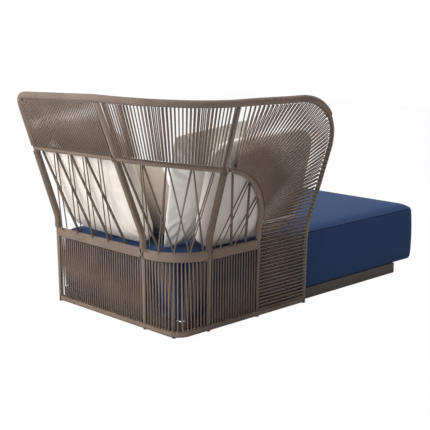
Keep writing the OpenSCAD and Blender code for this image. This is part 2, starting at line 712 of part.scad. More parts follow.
// Angle brackets that hold the floor ring to the plinth
bracket_w = 40;
bracket_t = 3;
bracket_h = 34;
screw_d = 5;
screw_head_d = 10;
screw_head_h = 3;
screw_l = 18;
screw_z = 36;
bracket_back_x = [plinth_x0 + 160, (plinth_x0 + plinth_x1) / 2, plinth_x1 - 90];
bracket_side_y = [plinth_y1 - 200, -arch_post_y, -wing_l + 60];
// Places a bracket's own frame: its back on the plinth, +X towards the ring
module at_brackets() {
    for (x = bracket_back_x) translate([x, plinth_y1, 0]) rotate([0, 0, 90]) children();
    for (y = bracket_side_y) translate([plinth_x0, y, 0]) rotate([0, 0, 180]) children();
}
module bracket(reach) {
    difference() {
        translate([0, -bracket_w / 2, ring_z - bracket_t / 2]) cube([bracket_t, bracket_w, bracket_h]);
        translate([-1, 0, screw_z]) rotate([0, 90, 0]) cylinder(h = bracket_t + 2, d = screw_d, $fn = 32);
    }
    translate([0, -bracket_w / 2, ring_z - bracket_t / 2]) cube([reach, bracket_w, bracket_t]);
}
module shell_brackets() {
    back_reach = -plinth_y1 - ring_rope_r - gap;
    side_reach = plinth_x0 - ring_rope_r - gap;
    color(metal) {
        for (x = bracket_back_x) translate([x, plinth_y1, 0]) rotate([0, 0, 90]) bracket(back_reach);
        for (y = bracket_side_y) translate([plinth_x0, y, 0]) rotate([0, 0, 180]) bracket(side_reach);
    }
}
module screw_shanks() {
    at_brackets() translate([bracket_t - screw_l, 0, screw_z]) rotate([0, 90, 0])
        cylinder(h = screw_l, d = screw_d, $fn = 32);
}
module bracket_screws() {
    color(dark_plastic) {
        screw_shanks();
        at_brackets() translate([bracket_t, 0, screw_z]) rotate([0, 90, 0])
            cylinder(h = screw_head_h, d = screw_head_d, $fn = 32);
    }
}

// Box frame of the base, its slats, foam and cover
skin_t = cloth_t + side_foam_t;
box_x0 = base_gap_x + side_bulge + skin_t;
box_x1 = base_gap_x + base_w - side_bulge - skin_t;
box_y0 = y_low + side_bulge + skin_t;
box_y1 = -base_gap_y - side_bulge - skin_t;
box_z0 = plinth_h;
panel_t = 6;
board_z0 = box_z0 + panel_t;
slat_z = board_z0 + board_h;
foam_z = slat_z + slat_t;
foam_top = crown_z - 15;
foam_top_inset = 36;
module base_floor_panel() {
    color(wood) translate([box_x0, box_y0, box_z0]) cube([box_x1 - box_x0, box_y1 - box_y0, panel_t]);
}
module base_side_board(x) {
    color(wood) translate([x, box_y0 + board_t, board_z0])
        cube([board_t, box_y1 - box_y0 - 2 * board_t, board_h]);
}
module base_left_board() { base_side_board(box_x1 - board_t); }
module base_right_board() { base_side_board(box_x0); }
module base_end_board(y) {
    color(wood) translate([box_x0, y, board_z0]) cube([box_x1 - box_x0, board_t, board_h]);
}
module base_head_board() { base_end_board(box_y1 - board_t); }
module base_foot_board() { base_end_board(box_y0); }
module centre_beam() {
    color(wood) translate([(box_x0 + box_x1) / 2 - board_t / 2, box_y0 + board_t, board_z0])
        cube([board_t, box_y1 - box_y0 - 2 * board_t, board_h]);
}
module deck_slats() {
    run = box_y1 - box_y0 - slat_w;
    color(wood) for (i = [0:slat_count - 1])
        translate([box_x0, box_y0 + run * i / (slat_count - 1), slat_z])
            cube([box_x1 - box_x0, slat_w, slat_t]);
}
foam_step = seam_z - 6;
module rounded_block(inset, z0, z1) {
    x0 = box_x0 - side_foam_t + inset;
    x1 = box_x1 + side_foam_t - inset;
    y0 = box_y0 - side_foam_t + inset;
    y1 = box_y1 + side_foam_t - inset;
    rh = head_r - cloth_t - side_bulge;
    rf = foot_r - cloth_t - side_bulge;
    translate([0, 0, z0]) linear_extrude(z1 - z0) union() {
        translate([x0 + rf, y0]) square([x1 - x0 - 2 * rf, rf]);
        translate([x0, y0 + rf]) square([x1 - x0, y1 - y0 - rf - rh]);
        translate([x0 + rh, y1 - rh]) square([x1 - x0 - rh - rf, rh]);
        translate([x1 - rf, y1 - rh]) square([rf, rh - rf]);
        for (x = [x0 + rf, x1 - rf]) translate([x, y0 + rf]) circle(r = rf, $fn = 48);
        translate([x1 - rf, y1 - rf]) circle(r = rf, $fn = 48);
        translate([x0 + rh, y1 - rh]) circle(r = rh, $fn = 48);
    }
}
module top_foam() {
    rounded_block(0, foam_z, foam_step);
    rounded_block(foam_top_inset, foam_step, foam_top);
}
module side_foam() {
    color(foam_yellow) difference() {
        rounded_block(0, box_z0, foam_z);
        translate([box_x0, box_y0, box_z0 - 1])
            cube([box_x1 - box_x0, box_y1 - box_y0, foam_z - box_z0 + 2]);
    }
}
module mattress_foam() {
    color(foam_yellow) top_foam();
}
// Cover: rows of [inset from the widest line, height], hem to crown, round a rounded rectangle
cover_rows = [
    [side_bulge + 18, box_z0], [side_bulge, box_z0], [side_bulge - 3, box_z0 + 30],
    [0, (box_z0 + seam_z) / 2], [side_bulge - 3, seam_z - 40], [side_bulge, seam_z],
    [side_bulge + 9, seam_z + 10], [side_bulge + 36, crown_z - 11], [side_bulge + 120, crown_z - 4]
];
corner_steps = 5;
function cover_ring(inset, z) =
    let (w = base_w / 2 - inset, l = base_l / 2 - inset,
         mx = base_gap_x + base_w / 2, my = -base_gap_y - base_l / 2)
    [for (c = [0:3], j = [0:corner_steps])
        let (a = 90 * c + 90 * j / corner_steps,
             r = (c == 1 ? head_r : foot_r) - min(inset, side_bulge) * 0.5,
             sx = c == 0 || c == 3 ? 1 : -1, sy = c < 2 ? 1 : -1)
        [mx + sx * (w - r) + r * cos(a), my + sy * (l - r) + r * sin(a), z]];
module cover_outer() {
    n = 4 * (corner_steps + 1);
    m = len(cover_rows);
    rings = [for (row = cover_rows) each cover_ring(row[0], row[1])];
    crown = [base_gap_x + base_w / 2, -base_gap_y - base_l / 2, crown_z];
    sides = [for (i = [0:m - 2], k = [0:n - 1]) each [
        [i * n + k, i * n + (k + 1) % n, (i + 1) * n + (k + 1) % n],
        [i * n + k, (i + 1) * n + (k + 1) % n, (i + 1) * n + k]
    ]];
    top = [for (k = [0:n - 1]) [(m - 1) * n + k, (m - 1) * n + (k + 1) % n, m * n]];
    hem = [[for (k = [n - 1:-1:0]) k]];
    polyhedron(points = concat(rings, [crown]), faces = [for (f = concat(sides, top, hem)) reversed(f)]);
}
module base_cover() {
    color(navy) difference() {
        cover_outer();
        rounded_block(0, box_z0 - 1, foam_z + 1);
        top_foam();
    }
}

// A cushion: a crowned pillow with drawn-in sides and round corners, standing on its lower edge.
// Its own frame has the width along X, the height along Z and its back towards +Y.
module pillow(w, h, back_t, front_t, fullness, rounded) {
    n = cushion_steps;
    function at(i, j, side) =
        let (u = cushion_grid[i], v = cushion_grid[j],
             t = pow(max((1 - u * u) * (1 - v * v), 0), fullness))
        [pillow_line(w, u, v, rounded), side > 0 ? back_t * t : -front_t * t,
         h / 2 + pillow_line(h, v, u, rounded)];
    rim = [for (i = [0:n - 1]) [i, 0], for (j = [0:n - 1]) [n, j],
           for (i = [n:-1:1]) [i, n], for (j = [n:-1:1]) [0, j]];
    inner = [for (j = [1:n - 1], i = [1:n - 1]) [i, j]];
    pts = concat([for (p = rim) at(p[0], p[1], 1)],
        [for (p = inner) at(p[0], p[1], 1)], [for (p = inner) at(p[0], p[1], -1)]);
    m = len(rim);
    k = len(inner);
    function rim_id(i, j) = j == 0 && i < n ? i : i == n && j < n ? n + j
        : j == n && i > 0 ? 2 * n + (n - i) : 3 * n + (n - j);
    function id(i, j, side) = i == 0 || j == 0 || i == n || j == n ? rim_id(i, j)
        : m + (side > 0 ? 0 : k) + (j - 1) * (n - 1) + i - 1;
    // The diagonal of each cell runs towards the nearest corner
    function cell(i, j, side) =
        let (a = id(i, j, side), b = id(i + 1, j, side), c = id(i + 1, j + 1, side), d = id(i, j + 1, side))
        (i < n / 2) == (j < n / 2) ? [[a, b, c], [a, c, d]] : [[a, b, d], [b, c, d]];
    faces = concat(
        [for (i = [0:n - 1], j = [0:n - 1]) each cell(i, j, 1)],
        [for (i = [0:n - 1], j = [0:n - 1]) each [for (f = cell(i, j, -1)) reversed(f)]]
    );
    polyhedron(points = pts, faces = faces);
}
// Places a cushion by its lower middle point, its turn about Z, its lean and its roll
module cushion_at(p, turn, lean, roll) {
    translate(p) rotate([0, 0, turn]) rotate([-lean, 0, 0]) rotate([0, roll, 0]) children();
}
// The lowest corner of each cushion rests on the crowned top of the cover, so the
// middle of its lower edge is this much above the highest point of the crown
back_rise = -15.4;
side_rise = -15.5;
tan_rise = -10.1;
white_rise = -0.4;
// Thickness of each cushion behind and in front of its seam, and how soft its edges are
back_depth = [50, 70];
side_depth = [48, 60];
tan_depth = [40, 50];
white_depth = [35, 45];
boxed = 0.3;
soft = 0.42;
side_turn = 90;
back_lean = 21.5;
side_lean = 16.5;
side_roll = 2;
tan_lean = 21;
white_lean = 16;
white_roll = 6;
// Distances from the back corner of the floor ring to the middle of each lower edge
side_at = [74, -125 - side_w / 2];
tan_at = [435, -268];
white_at = [184, -60 - white_w / 2];
module back_cushion() {
    color(cream) cushion_at([back_at[0], back_at[1], crown_z + back_rise], 0, back_lean, back_roll)
        pillow(back_w, back_h, back_depth[0], back_depth[1], boxed, big_corner_in);
}
module side_cushion() {
    color(cream) cushion_at([side_at[0], side_at[1], crown_z + side_rise], side_turn, side_lean, side_roll)
        pillow(side_w, side_h, side_depth[0], side_depth[1], boxed, big_corner_in);
}
module tan_pillow() {
    color(tan_cloth) cushion_at([tan_at[0], tan_at[1], crown_z + tan_rise], 0, tan_lean, 0)
        pillow(tan_w, tan_w, tan_depth[0], tan_depth[1], soft, corner_in);
}
module white_pillow() {
    color(white_cloth) cushion_at([white_at[0], white_at[1], crown_z + white_rise], side_turn, white_lean,
        white_roll) pillow(white_w, white_h, white_depth[0], white_depth[1], soft, corner_in);
}

placed() floor_ring_tube();
placed() floor_ring_rope();
placed() floor_pads();
placed() end_glides();
placed() outline_tube();
placed() back_corner_post();
placed() side_corner_post();
placed() arch_tube();
placed() seat_bar(back_span);  // seat_bar_back
placed() seat_bar(corner_span);  // seat_bar_corner
placed() seat_bar(side_span);  // seat_bar_side
placed() seat_band_rope(back_span);  // seat_band_rope_back
placed() seat_band_rope(corner_span);  // seat_band_rope_corner
placed() seat_band_rope(side_span);  // seat_band_rope_side
placed() mid_rod(mid_back_span);  // mid_rod_back
placed() mid_rod(mid_corner_span);  // mid_rod_corner
placed() mid_rope(mid_back_span);  // mid_rope_back
placed() mid_rope(mid_corner_span);  // mid_rope_corner
placed() arch_rope();
placed() top_rail_rope();
placed() post_ropes();
placed() post_bindings();
placed() base_cords(s_end, s_back);  // base_cords_back
placed() base_cords(s_back, s_side);  // base_cords_corner
placed() base_cords(s_side, s_arch);  // base_cords_side
placed() wing_front_cords();
placed() lacing_back();
placed() lacing_corner();
placed() lacing_side();
placed() upper_cords(s_end, s_back, upper_pitch);  // upper_cords_back
placed()  // upper_cords_corner
    upper_cords(s_back, s_side, corner_upper_pitch, corner_upper_crowd);
placed() wing_fan_cords();
placed() plinth_left_board();
placed() plinth_right_board();
placed() plinth_head_board();
placed() plinth_foot_board();
placed() shell_brackets();
placed() bracket_screws();
placed() base_left_board();
placed() base_right_board();
placed() base_head_board();
placed() base_foot_board();
placed() base_floor_panel();
placed() centre_beam();
placed() deck_slats();
placed() side_foam();
placed() mattress_foam();
placed() base_cover();
placed() back_cushion();
placed() side_cushion();
placed() tan_pillow();
placed() white_pillow();
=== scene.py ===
# %% [markdown]
# # Rope sunbed
# A low upholstered base stands on a plinth, and a tall shell of tube and rope stands round its
# head end and one long side. Four loose cushions lean inside the shell.
# The solids of the frame come first. They fix every size, so each new surface below is worked
# out from the same few measures as the solid that it stands for.
# %% Load the fixed frame
import bpy
import numpy as np
from mathutils import Matrix, Vector


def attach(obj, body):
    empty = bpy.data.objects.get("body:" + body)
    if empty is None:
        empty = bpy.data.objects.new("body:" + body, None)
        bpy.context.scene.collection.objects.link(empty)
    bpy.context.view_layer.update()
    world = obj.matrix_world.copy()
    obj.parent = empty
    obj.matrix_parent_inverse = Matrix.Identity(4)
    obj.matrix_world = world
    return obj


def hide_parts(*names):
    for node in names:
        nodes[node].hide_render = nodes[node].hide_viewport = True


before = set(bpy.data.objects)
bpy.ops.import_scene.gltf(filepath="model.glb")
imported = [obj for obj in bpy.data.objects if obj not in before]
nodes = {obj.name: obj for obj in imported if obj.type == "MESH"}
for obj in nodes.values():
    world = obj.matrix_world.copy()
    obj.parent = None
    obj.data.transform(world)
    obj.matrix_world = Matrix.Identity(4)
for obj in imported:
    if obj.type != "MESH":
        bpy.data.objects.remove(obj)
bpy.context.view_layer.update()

# %% [markdown]
# ## Camera
# The photograph looks down a little on the back corner of the shell, with a long lens. Its
# viewpoint was worked out from the corners of the object, so the camera is set by numbers and
# never by eye: where it stands, how it is turned, and its focal length.
# %% Camera
VIEW_AZIMUTH, VIEW_ELEVATION, VIEW_ROLL = np.radians([226.206, 11.517, -0.254])
VIEW_PLACE = Vector((-3.443844, 3.511735, 1.400))
FOCAL_PIXELS, FRAME_PIXELS = 998.9, 430

camera = bpy.data.objects.new("camera", bpy.data.cameras.new("camera"))
camera.data.sensor_width = 36
camera.data.lens = FOCAL_PIXELS / FRAME_PIXELS * camera.data.sensor_width
camera.data.clip_end = 60
back = Vector((np.sin(VIEW_AZIMUTH) * np.cos(VIEW_ELEVATION),
               -np.cos(VIEW_AZIMUTH) * np.cos(VIEW_ELEVATION), np.sin(VIEW_ELEVATION)))
level = Vector((np.cos(VIEW_AZIMUTH), np.sin(VIEW_AZIMUTH), 0))
right = level * np.cos(VIEW_ROLL) + back.cross(level) * np.sin(VIEW_ROLL)
camera.matrix_world = Matrix((right, back.cross(right), back)).transposed().to_4x4()
camera.location = VIEW_PLACE
bpy.context.scene.collection.objects.link(camera)
bpy.context.scene.camera = camera
print("lens", round(camera.data.lens, 2), "mm")

# %% [markdown]
# ## The shell as one function
# Every tube, rail and cord of the shell lies on one surface. Seen from above it runs along the
# back, round a corner and down the covered side. Up to the knee it stands upright, and above
# the knee it leans outwards. A point on it needs two numbers only: how far along the seat band
# it is, and how high. Lengths are in millimetres here, from the back corner of the floor ring.
# %% Plan of the seat band
SHELL_W, WING_L, RING_R, BAND_R = 865, 820, 60, 200
CORNER_X, CORNER_Y, ARCH_Y = 220, 180, 493
FLARE_BACK, FLARE_SIDE = 4, 11
CENTRE = np.array([335.744, -757.735, 0])
ARC_X, ARC_Y = BAND_R - FLARE_SIDE, FLARE_BACK - BAND_R
BACK_RUN, ARC_RUN = SHELL_W - ARC_X, BAND_R * np.pi / 2


def metres(points):
    """Moves points from the back corner's frame to the object's own, in metres."""
    return (np.asarray(points, float) - CENTRE) / 1000


def smooth(t):
    """A step from 0 to 1 with level ends: 3 t squared less 2 t cubed."""
    t = np.clip(t, 0, 1)
    return t * t * (3 - 2 * t)


def turn_at(s):
    """How far the band has turned at length s: the arc's share of the length, in radians."""
    return np.clip((np.asarray(s, float) - BACK_RUN) / BAND_R, 0, np.pi / 2)


def outward(s):
    """The level direction out of the shell at s: minus sine and cosine of the turn."""
    a = turn_at(s)
    return np.stack([-np.sin(a), np.cos(a), 0 * a], -1)


def band_plan(s):
    """The seat band seen from above: straight, then a quarter circle, then straight."""
    s = np.asarray(s, float)
    a = turn_at(s)
    after = np.maximum(s - BACK_RUN - ARC_RUN, 0)
    x = np.where(s <= BACK_RUN, SHELL_W - s, ARC_X - BAND_R * np.sin(a))
    y = np.where(s <= BACK_RUN, FLARE_BACK, ARC_Y + BAND_R * np.cos(a) - after)
    return x, y


def station(y):
    """The length s at which the band passes a given y on the covered side."""
    y = np.asarray(y, float)
    on_arc = BACK_RUN + BAND_R * np.arccos(np.clip((y - ARC_Y) / BAND_R, -1, 1))
    return np.where(y > ARC_Y, on_arc, BACK_RUN + ARC_RUN + ARC_Y - y)


S_BACK = SHELL_W - CORNER_X
S_SIDE, S_ARCH, S_FRONT = (float(station(-y)) for y in (CORNER_Y, ARCH_Y, WING_L))
print("posts along the band at", 0, S_BACK, round(S_SIDE), round(S_ARCH), round(S_FRONT), "mm")

# %% [markdown]
# ## Heights, lean and the two special curves
# The rails rise and fall a little from post to post, and the lean changes with them. The arch
# that carries the wing's cords is a quarter of a superellipse, a squarer sister of the ellipse,
# laid on the leaning side. The wing's front corner is a plain quarter ellipse.
# %% Rails, arch and wing
BAND_Z, KNEE_Z, KNEE_SOFT, RING_Z = 350, 425, 24, 16.5
KNEE_LOW, KNEE_HIGH = KNEE_Z - KNEE_SOFT, KNEE_Z + KNEE_SOFT
BAR_H, BAR_T, BAND_HALF = 34, 8, 23.3
BAND_TOP = BAND_Z + BAND_HALF
MID_Z, TOP_Z, LEAN = (774, 791, 739), (1027, 1052, 1031), (0.327, 0.39, 0.34)
END_BEND, WING_BEND_L, WING_BEND_H = 50, 300, 260
WING_SWING, SWING_FROM, SWING_TO, WING_DROP = 26, BAND_Z - 35, KNEE_Z + 35, 6
ARCH_POWER = 1.08
WING_TOP_S = S_FRONT + WING_SWING - WING_BEND_L
WING_BEND_Z = TOP_Z[2] - WING_DROP - WING_BEND_H


def keyed(s, values):
    """A value given at the end, back and side posts: even along the back, smooth round the corner."""
    s = np.asarray(s, float)
    end, mid, side = values
    return np.where(s < S_BACK, end + (mid - end) * s / S_BACK,
                    mid + (side - mid) * smooth((s - S_BACK) / (S_SIDE - S_BACK)))


def top_height(s):
    """The top rail, which drops a little along the wing."""
    return keyed(s, TOP_Z) - WING_DROP * smooth((s - S_SIDE) / (WING_TOP_S - S_SIDE))


def swing(z):
    """How far the front of the wing has swung forward at a height: a smooth step round the knee."""
    return WING_SWING * smooth((np.asarray(z, float) - SWING_FROM) / (SWING_TO - SWING_FROM))


def mid_height(s):
    """The middle rail: even to the back post, then a falling parabola."""
    t = np.maximum((np.asarray(s, float) - S_BACK) / (S_SIDE - S_BACK), 0)
    return np.where(s < S_BACK, keyed(s, MID_Z), MID_Z[1] + (MID_Z[2] - MID_Z[1]) * t ** 2)


def shell(s, z, out=0):
    """A point of the shell: the plan, moved outwards by the lean times the height above the knee."""
    s, z = np.asarray(s, float), np.asarray(z, float)
    x, y = band_plan(s)
    n = outward(s)
    d = keyed(s, LEAN) * np.maximum(z - KNEE_Z, 0) + out
    return np.stack([x + n[..., 0] * d, y + n[..., 1] * d, z + 0 * d], -1)


def tilted(s, slope):
    """Square to a panel that leans by an angle: out times its cosine, less up times its sine."""
    slope = np.asarray(slope, float)[..., None]
    return outward(s) * np.cos(slope) - np.array([0, 0, 1]) * np.sin(slope)


def off_panel(s, z, e):
    """A point that stands off the leaning panel by e, square to it."""
    return shell(s, z) + np.asarray(e, float)[..., None] * tilted(s, np.arctan(keyed(s, LEAN)))


def arch(f, e=0):
    """The arch: y and z are a sine and a cosine, each raised to the arch's power."""
    q = np.asarray(f, float) * np.pi / 2
    y = -CORNER_Y - (ARCH_Y - CORNER_Y) * np.sin(q) ** ARCH_POWER
    z = KNEE_Z + (MID_Z[2] - KNEE_Z) * np.maximum(np.cos(q), 0) ** ARCH_POWER
    return off_panel(station(y), z, e + 0 * q)


print("arch from", np.round(arch(0)), "to", np.round(arch(1)))
# %% Outline of the shell as length and height
def outline(n=40):
    """The outline above the knee as (s, z): end bend, top rail, wing corner, front post."""
    q = np.linspace(0, np.pi / 2, n)
    bend = np.stack([END_BEND * (1 - np.cos(q)), TOP_Z[0] - END_BEND + END_BEND * np.sin(q)], -1)
    s = np.linspace(END_BEND, WING_TOP_S, 4 * n)[1:]
    top = np.stack([s, top_height(s)], -1)
    wing = np.stack([WING_TOP_S + WING_BEND_L * np.sin(q), WING_BEND_Z + WING_BEND_H * np.cos(q)], -1)
    return bend, top, wing[1:]


def floor_plan(s):
    """The floor ring under a station: straight, a tighter quarter circle, straight."""
    s = np.asarray(s, float)
    run = CORNER_X + CORNER_Y - 2 * RING_R + RING_R * np.pi / 2
    l = np.clip((s - S_BACK) / (S_SIDE - S_BACK), 0, 1) * run
    t = np.clip((l - CORNER_X + RING_R) / RING_R, 0, np.pi / 2)
    past = np.maximum(l - CORNER_X + RING_R - RING_R * np.pi / 2, 0)
    before = l < CORNER_X - RING_R
    x = np.where(before, CORNER_X - l, RING_R - RING_R * np.sin(t))
    y = np.where(before, 0, -RING_R + RING_R * np.cos(t) - past)
    x = np.where(s <= S_BACK, SHELL_W - s, np.where(s >= S_SIDE, 0, x))
    y = np.where(s <= S_BACK, 0, np.where(s >= S_SIDE, band_plan(s)[1], y))
    inside = (s > S_BACK) & (s < S_SIDE)
    n = np.where(inside[..., None], np.stack([-np.sin(t), np.cos(t), 0 * t], -1), outward(s))
    return np.stack([x, y, 0 * x + RING_Z], -1), n


def leg(s, low, n=8):
    """A leg below the knee: a straight line from the floor ring out to the seat band."""
    z = np.linspace(low, KNEE_LOW, n)[:, None]
    foot, _ = floor_plan(s)
    t = np.minimum((z - RING_Z) / (BAND_Z - RING_Z), 1)
    level_part = foot[None, :2] * (1 - t) + shell(s, BAND_Z)[None, :2] * t
    return np.concatenate([level_part, z], 1)


print("outline points", [len(part) for part in outline()])

# %% [markdown]
# ## From numbers to a mesh
# All new surfaces here are grids: rows of points, each row a ring or a line. One helper joins
# any number of equal grids into one mesh and writes a UV map in real metres, so that a braid or
# a weave can follow the surface however it is turned.
# %% Grid to mesh
def grid_piece(name, points, uv, material, closed=True, caps=True, stands_for=()):
    """Makes one piece from grids (pieces, rows, columns, 3). A cell joins rows i and i + 1."""
    points, uv = np.atleast_1d(points), np.asarray(uv, float)
    if points.ndim == 3:
        points, uv = points[None], uv[None]
    c, n, m = points.shape[:3]
    ids = np.arange(c * n * m).reshape(c, n, m)
    wide = np.concatenate([ids, ids[:, :, :1]], 2) if closed else ids
    corners = lambda a: np.stack([a[:, :-1, :-1], a[:, :-1, 1:], a[:, 1:, 1:], a[:, 1:, :-1]], 3)
    loops = [corners(wide).reshape(-1, 4)]
    loop_uv = [corners(uv).reshape(-1, 2)]
    if caps:
        for row, order in ((0, slice(None, None, -1)), (n - 1, slice(None))):
            loops.append(ids[:, row, order])
            loop_uv.append(uv[:, row, :m][:, order].reshape(-1, 2))
    mesh = bpy.data.meshes.new(name)
    mesh.vertices.add(c * n * m)
    mesh.vertices.foreach_set("co", metres(points).ravel())
    sizes = np.concatenate([np.full(len(f), f.shape[1]) for f in loops])
    mesh.loops.add(int(sizes.sum()))
    mesh.loops.foreach_set("vertex_index", np.concatenate([f.ravel() for f in loops]))
    mesh.polygons.add(len(sizes))
    mesh.polygons.foreach_set("loop_start", np.concatenate([[0], np.cumsum(sizes)[:-1]]))
    mesh.update(calc_edges=True)
    mesh.uv_layers.new(name="surface").data.foreach_set("uv", np.concatenate(loop_uv).ravel())
    mesh.polygons.foreach_set("use_smooth", sizes == 4)
    mesh.materials.append(material)
    piece = bpy.data.objects.new(name, mesh)
    bpy.context.scene.collection.objects.link(piece)
    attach(piece, "root")
    if stands_for:
        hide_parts(*stands_for)
    print(f"{name}: {c} x {n} x {m} points")
    return piece


# %% Tube round a path
def unit(v):
    """A vector over its own length."""
    return v / np.linalg.norm(v, axis=-1, keepdims=True)


def run_along(path):
    """The length of a path up to each of its points: the sum of its steps so far."""
    return np.concatenate([[0], np.cumsum(np.linalg.norm(np.diff(path, axis=0), axis=1))])


def read_at(at, run, values):
    """Every column of the values, read at other lengths in between."""
    return np.stack([np.interp(at, run, column) for column in values.T], -1)


def even(path, out, step):
    """A path and its outward vectors an even step apart, and the length at each point."""
    run = run_along(path)
    at = np.linspace(0, run[-1], max(int(round(run[-1] / step)), 1) + 1)
    return read_at(at, run, path), read_at(at, run, np.broadcast_to(out, path.shape)), at


def rings(path, out, radius, sides, closed=False):
    """Rings p + r (cos a m + sin a b), where t is the path's direction, b = t x out, m = b x t."""
    t = unit(np.roll(path, -1, -2) - np.roll(path, 1, -2) if closed else np.gradient(path, axis=-2))
    b = unit(np.cross(t, out))
    m = np.cross(b, t)
    a = np.arange(sides) * 2 * np.pi / sides
    r = np.broadcast_to(np.asarray(radius, float), path.shape[:-1] + (sides,))
    ring = np.cos(a)[:, None] * m[..., None, :] + np.sin(a)[:, None] * b[..., None, :]
    return path[..., None, :] + r[..., None] * ring


def tube_uv(run, radius, sides):
    """A tube's UV map in metres: the way round it, and the length along it."""
    around = np.arange(sides + 1) / sides * 2 * np.pi * radius / 1000
    return np.stack(np.broadcast_arrays(around, run[..., None] / 1000), -1)


ROPE_D = 6.0
ROPE_R = ROPE_D / 2
OUTLINE_R, POST_R, MID_R, ARCH_R, RING_TUBE_R = 11, 10, 7, 9, 9
OUTLINE_WOUND, MID_WOUND, ARCH_WOUND, RING_WOUND = (
    r + ROPE_D for r in (OUTLINE_R, MID_R, ARCH_R, RING_TUBE_R))
GAP = 0.3   # pieces that only touch on the real object stand this far apart
SLACK = 1.5   # a winding or a post ends this much short of the rail that it meets
print("helpers ready, rope", ROPE_D, "mm")

# %% [markdown]
# ## Materials
# Each finish starts from what the real one is: braided polyester rope with an acrylic core,
# powder-coated steel, woven acrylic cloth. One function adds a node with its settings and its
# links, and one turns a written sRGB colour into the linear one that the shader works with.
# %% Node and colour helpers
def linear(hex_colour):
    """sRGB hex to linear: v / 12.92 below 0.04045, else ((v + 0.055) / 1.055) to the power 2.4."""
    v = np.array([int(hex_colour[i:i + 2], 16) for i in (1, 3, 5)]) / 255
    return (*np.where(v <= 0.04045, v / 12.92, ((v + 0.055) / 1.055) ** 2.4), 1.0)


def feed(tree, made, inputs):
    """Fills a node's inputs with numbers, written colours, or links from sockets and nodes.

    A node stands for its first output.
    """
    for key, value in inputs.items():
        value = value.outputs[0] if isinstance(value, bpy.types.Node) else value
        if isinstance(value, bpy.types.NodeSocket):
            tree.links.new(value, made.inputs[key])
        else:
            made.inputs[key].default_value = linear(value) if isinstance(value, str) else value


def node(tree, kind, inputs=None, **settings):
    """Adds one node. What isn't one of its properties among the settings is an input."""
    made = tree.nodes.new("ShaderNode" + kind)
    inputs = dict(inputs or {})
    for key, value in settings.items():
        if hasattr(made, key):
            setattr(made, key, value)
        else:
            inputs[key.replace("_", " ")] = value
    feed(tree, made, inputs)
    return made


def finish(name, **shader):
    """A new material and its shader with plain settings."""
    material = bpy.data.materials.new(name)
    material.use_nodes = True
    tree = material.node_tree
    principled = tree.nodes["Principled BSDF"]
    feed(tree, principled, {key.replace("_", " "): value for key, value in shader.items()})
    return material, tree, principled


def dress(tree, principled, factor, first, second, height, strength, distance):
    """Gives the shader its colour, two tones mixed by a factor, and its bump, from a height."""
    tone = node(tree, "Mix", {0: factor, 6: first, 7: second}, data_type="RGBA")
    bump = node(tree, "Bump", {"Height": height}, Strength=strength, Distance=distance)
    feed(tree, principled, {"Base Color": tone.outputs[2], "Normal": bump})


print("white is", linear("#ffffff"))
# %% [markdown]
# ## Braided polyester rope
# The rope is a round braid of dull melange yarn. Its strands cross in small diamonds, which are
# two wave patterns turned against each other. A strand is about 1.6 mm wide on the real rope
# and is drawn 2.4 mm wide here, as coarse as it needs to be to show. The UV map runs in metres
# along the rope, so the braid follows each cord. A slow noise changes the yarn's tone, and painted
# shade darkens the dips between the strands.
# %% Rope finish
STRAND = 0.0024
WAVE_LENGTH = 0.31416   # a wave texture of scale 1 repeats after 2 pi / 20


def braided_rope(name, dark, light, dip_shade):
    """Braid height = the larger of two slanted waves; colour = melange noise, with painted shade in the
    dips.
    """
    material, tree, principled = finish(name, Roughness=0.86, Sheen_Weight=0.06, Sheen_Roughness=0.5)
    uv = node(tree, "UVMap", uv_map="surface")
    waves = []
    for angle in (0.9, -0.9):
        turned = node(tree, "Mapping", {"Vector": uv}, Rotation=(0, 0, angle))
        waves.append(node(tree, "TexWave", {"Vector": turned}, Scale=WAVE_LENGTH / STRAND,
                          Distortion=0.4, Detail=1.0).outputs["Fac"])
    braid = node(tree, "Math", dict(enumerate(waves)), operation="MAXIMUM")
    place = node(tree, "TexCoord").outputs["Object"]
    yarn = node(tree, "TexNoise", {"Vector": place}, Scale=260.0, Detail=3.0)
    slow = node(tree, "TexNoise", {"Vector": place}, Scale=7.0, Detail=2.0)
    tone = node(tree, "Math", {0: yarn, 1: slow}, operation="ADD")
    melange = node(tree, "MapRange", {"Value": tone}, From_Min=0.7, From_Max=1.3)
    colour = node(tree, "Mix", {0: melange, 6: dark, 7: light}, data_type="RGBA").outputs[2]
    # Painted shade: the braid's dips are mixed towards a darker colour.
    dips = node(tree, "MapRange", {"Value": braid}, From_Min=0.25, From_Max=0.75,
                To_Min=0.55, To_Max=0.0)
    dress(tree, principled, dips, colour, dip_shade, braid, strength=0.7, distance=0.0006)
    return material


taupe_rope = braided_rope("braided_polyester_rope", "#7b6a5e", "#948174", "#493e36")
# The lashings, lacing and post ropes take a darker copy of the same rope: painted shade for turns that
# sit in shadow.
shaded_lashing_rope = braided_rope("braided_polyester_rope_lashing_shaded", "#6a5b50", "#827163", "#3f342c")
print(taupe_rope.name, shaded_lashing_rope.name)
# %% [markdown]
# ## Powder-coated steel
# The bare tubes have a baked polyester powder coat, sprayed on and cured. It gives the eye a
# dull satin film with a very fine orange peel, and use leaves faint clouds in it, some of them
# duller than others. Orange peel is about 2 mm from crest to crest.
# %% Steel finish
def powder_coat(name, dark, light, grain_mm=2.0):
    """Colour and roughness = slow cloud noise between two values; bump = fine orange-peel noise."""
    material, tree, principled = finish(name)
    place = node(tree, "TexCoord").outputs["Object"]
    cloud = node(tree, "TexNoise", {"Vector": place}, Scale=9.0, Detail=3.0)
    peel = node(tree, "TexNoise", {"Vector": place}, Scale=1000 / grain_mm, Detail=1.0)
    wear = node(tree, "MapRange", {"Value": cloud}, To_Min=0.42, To_Max=0.56)
    feed(tree, principled, {"Roughness": wear})
    dress(tree, principled, cloud, dark, light, peel, strength=0.25, distance=0.0003)
    return material


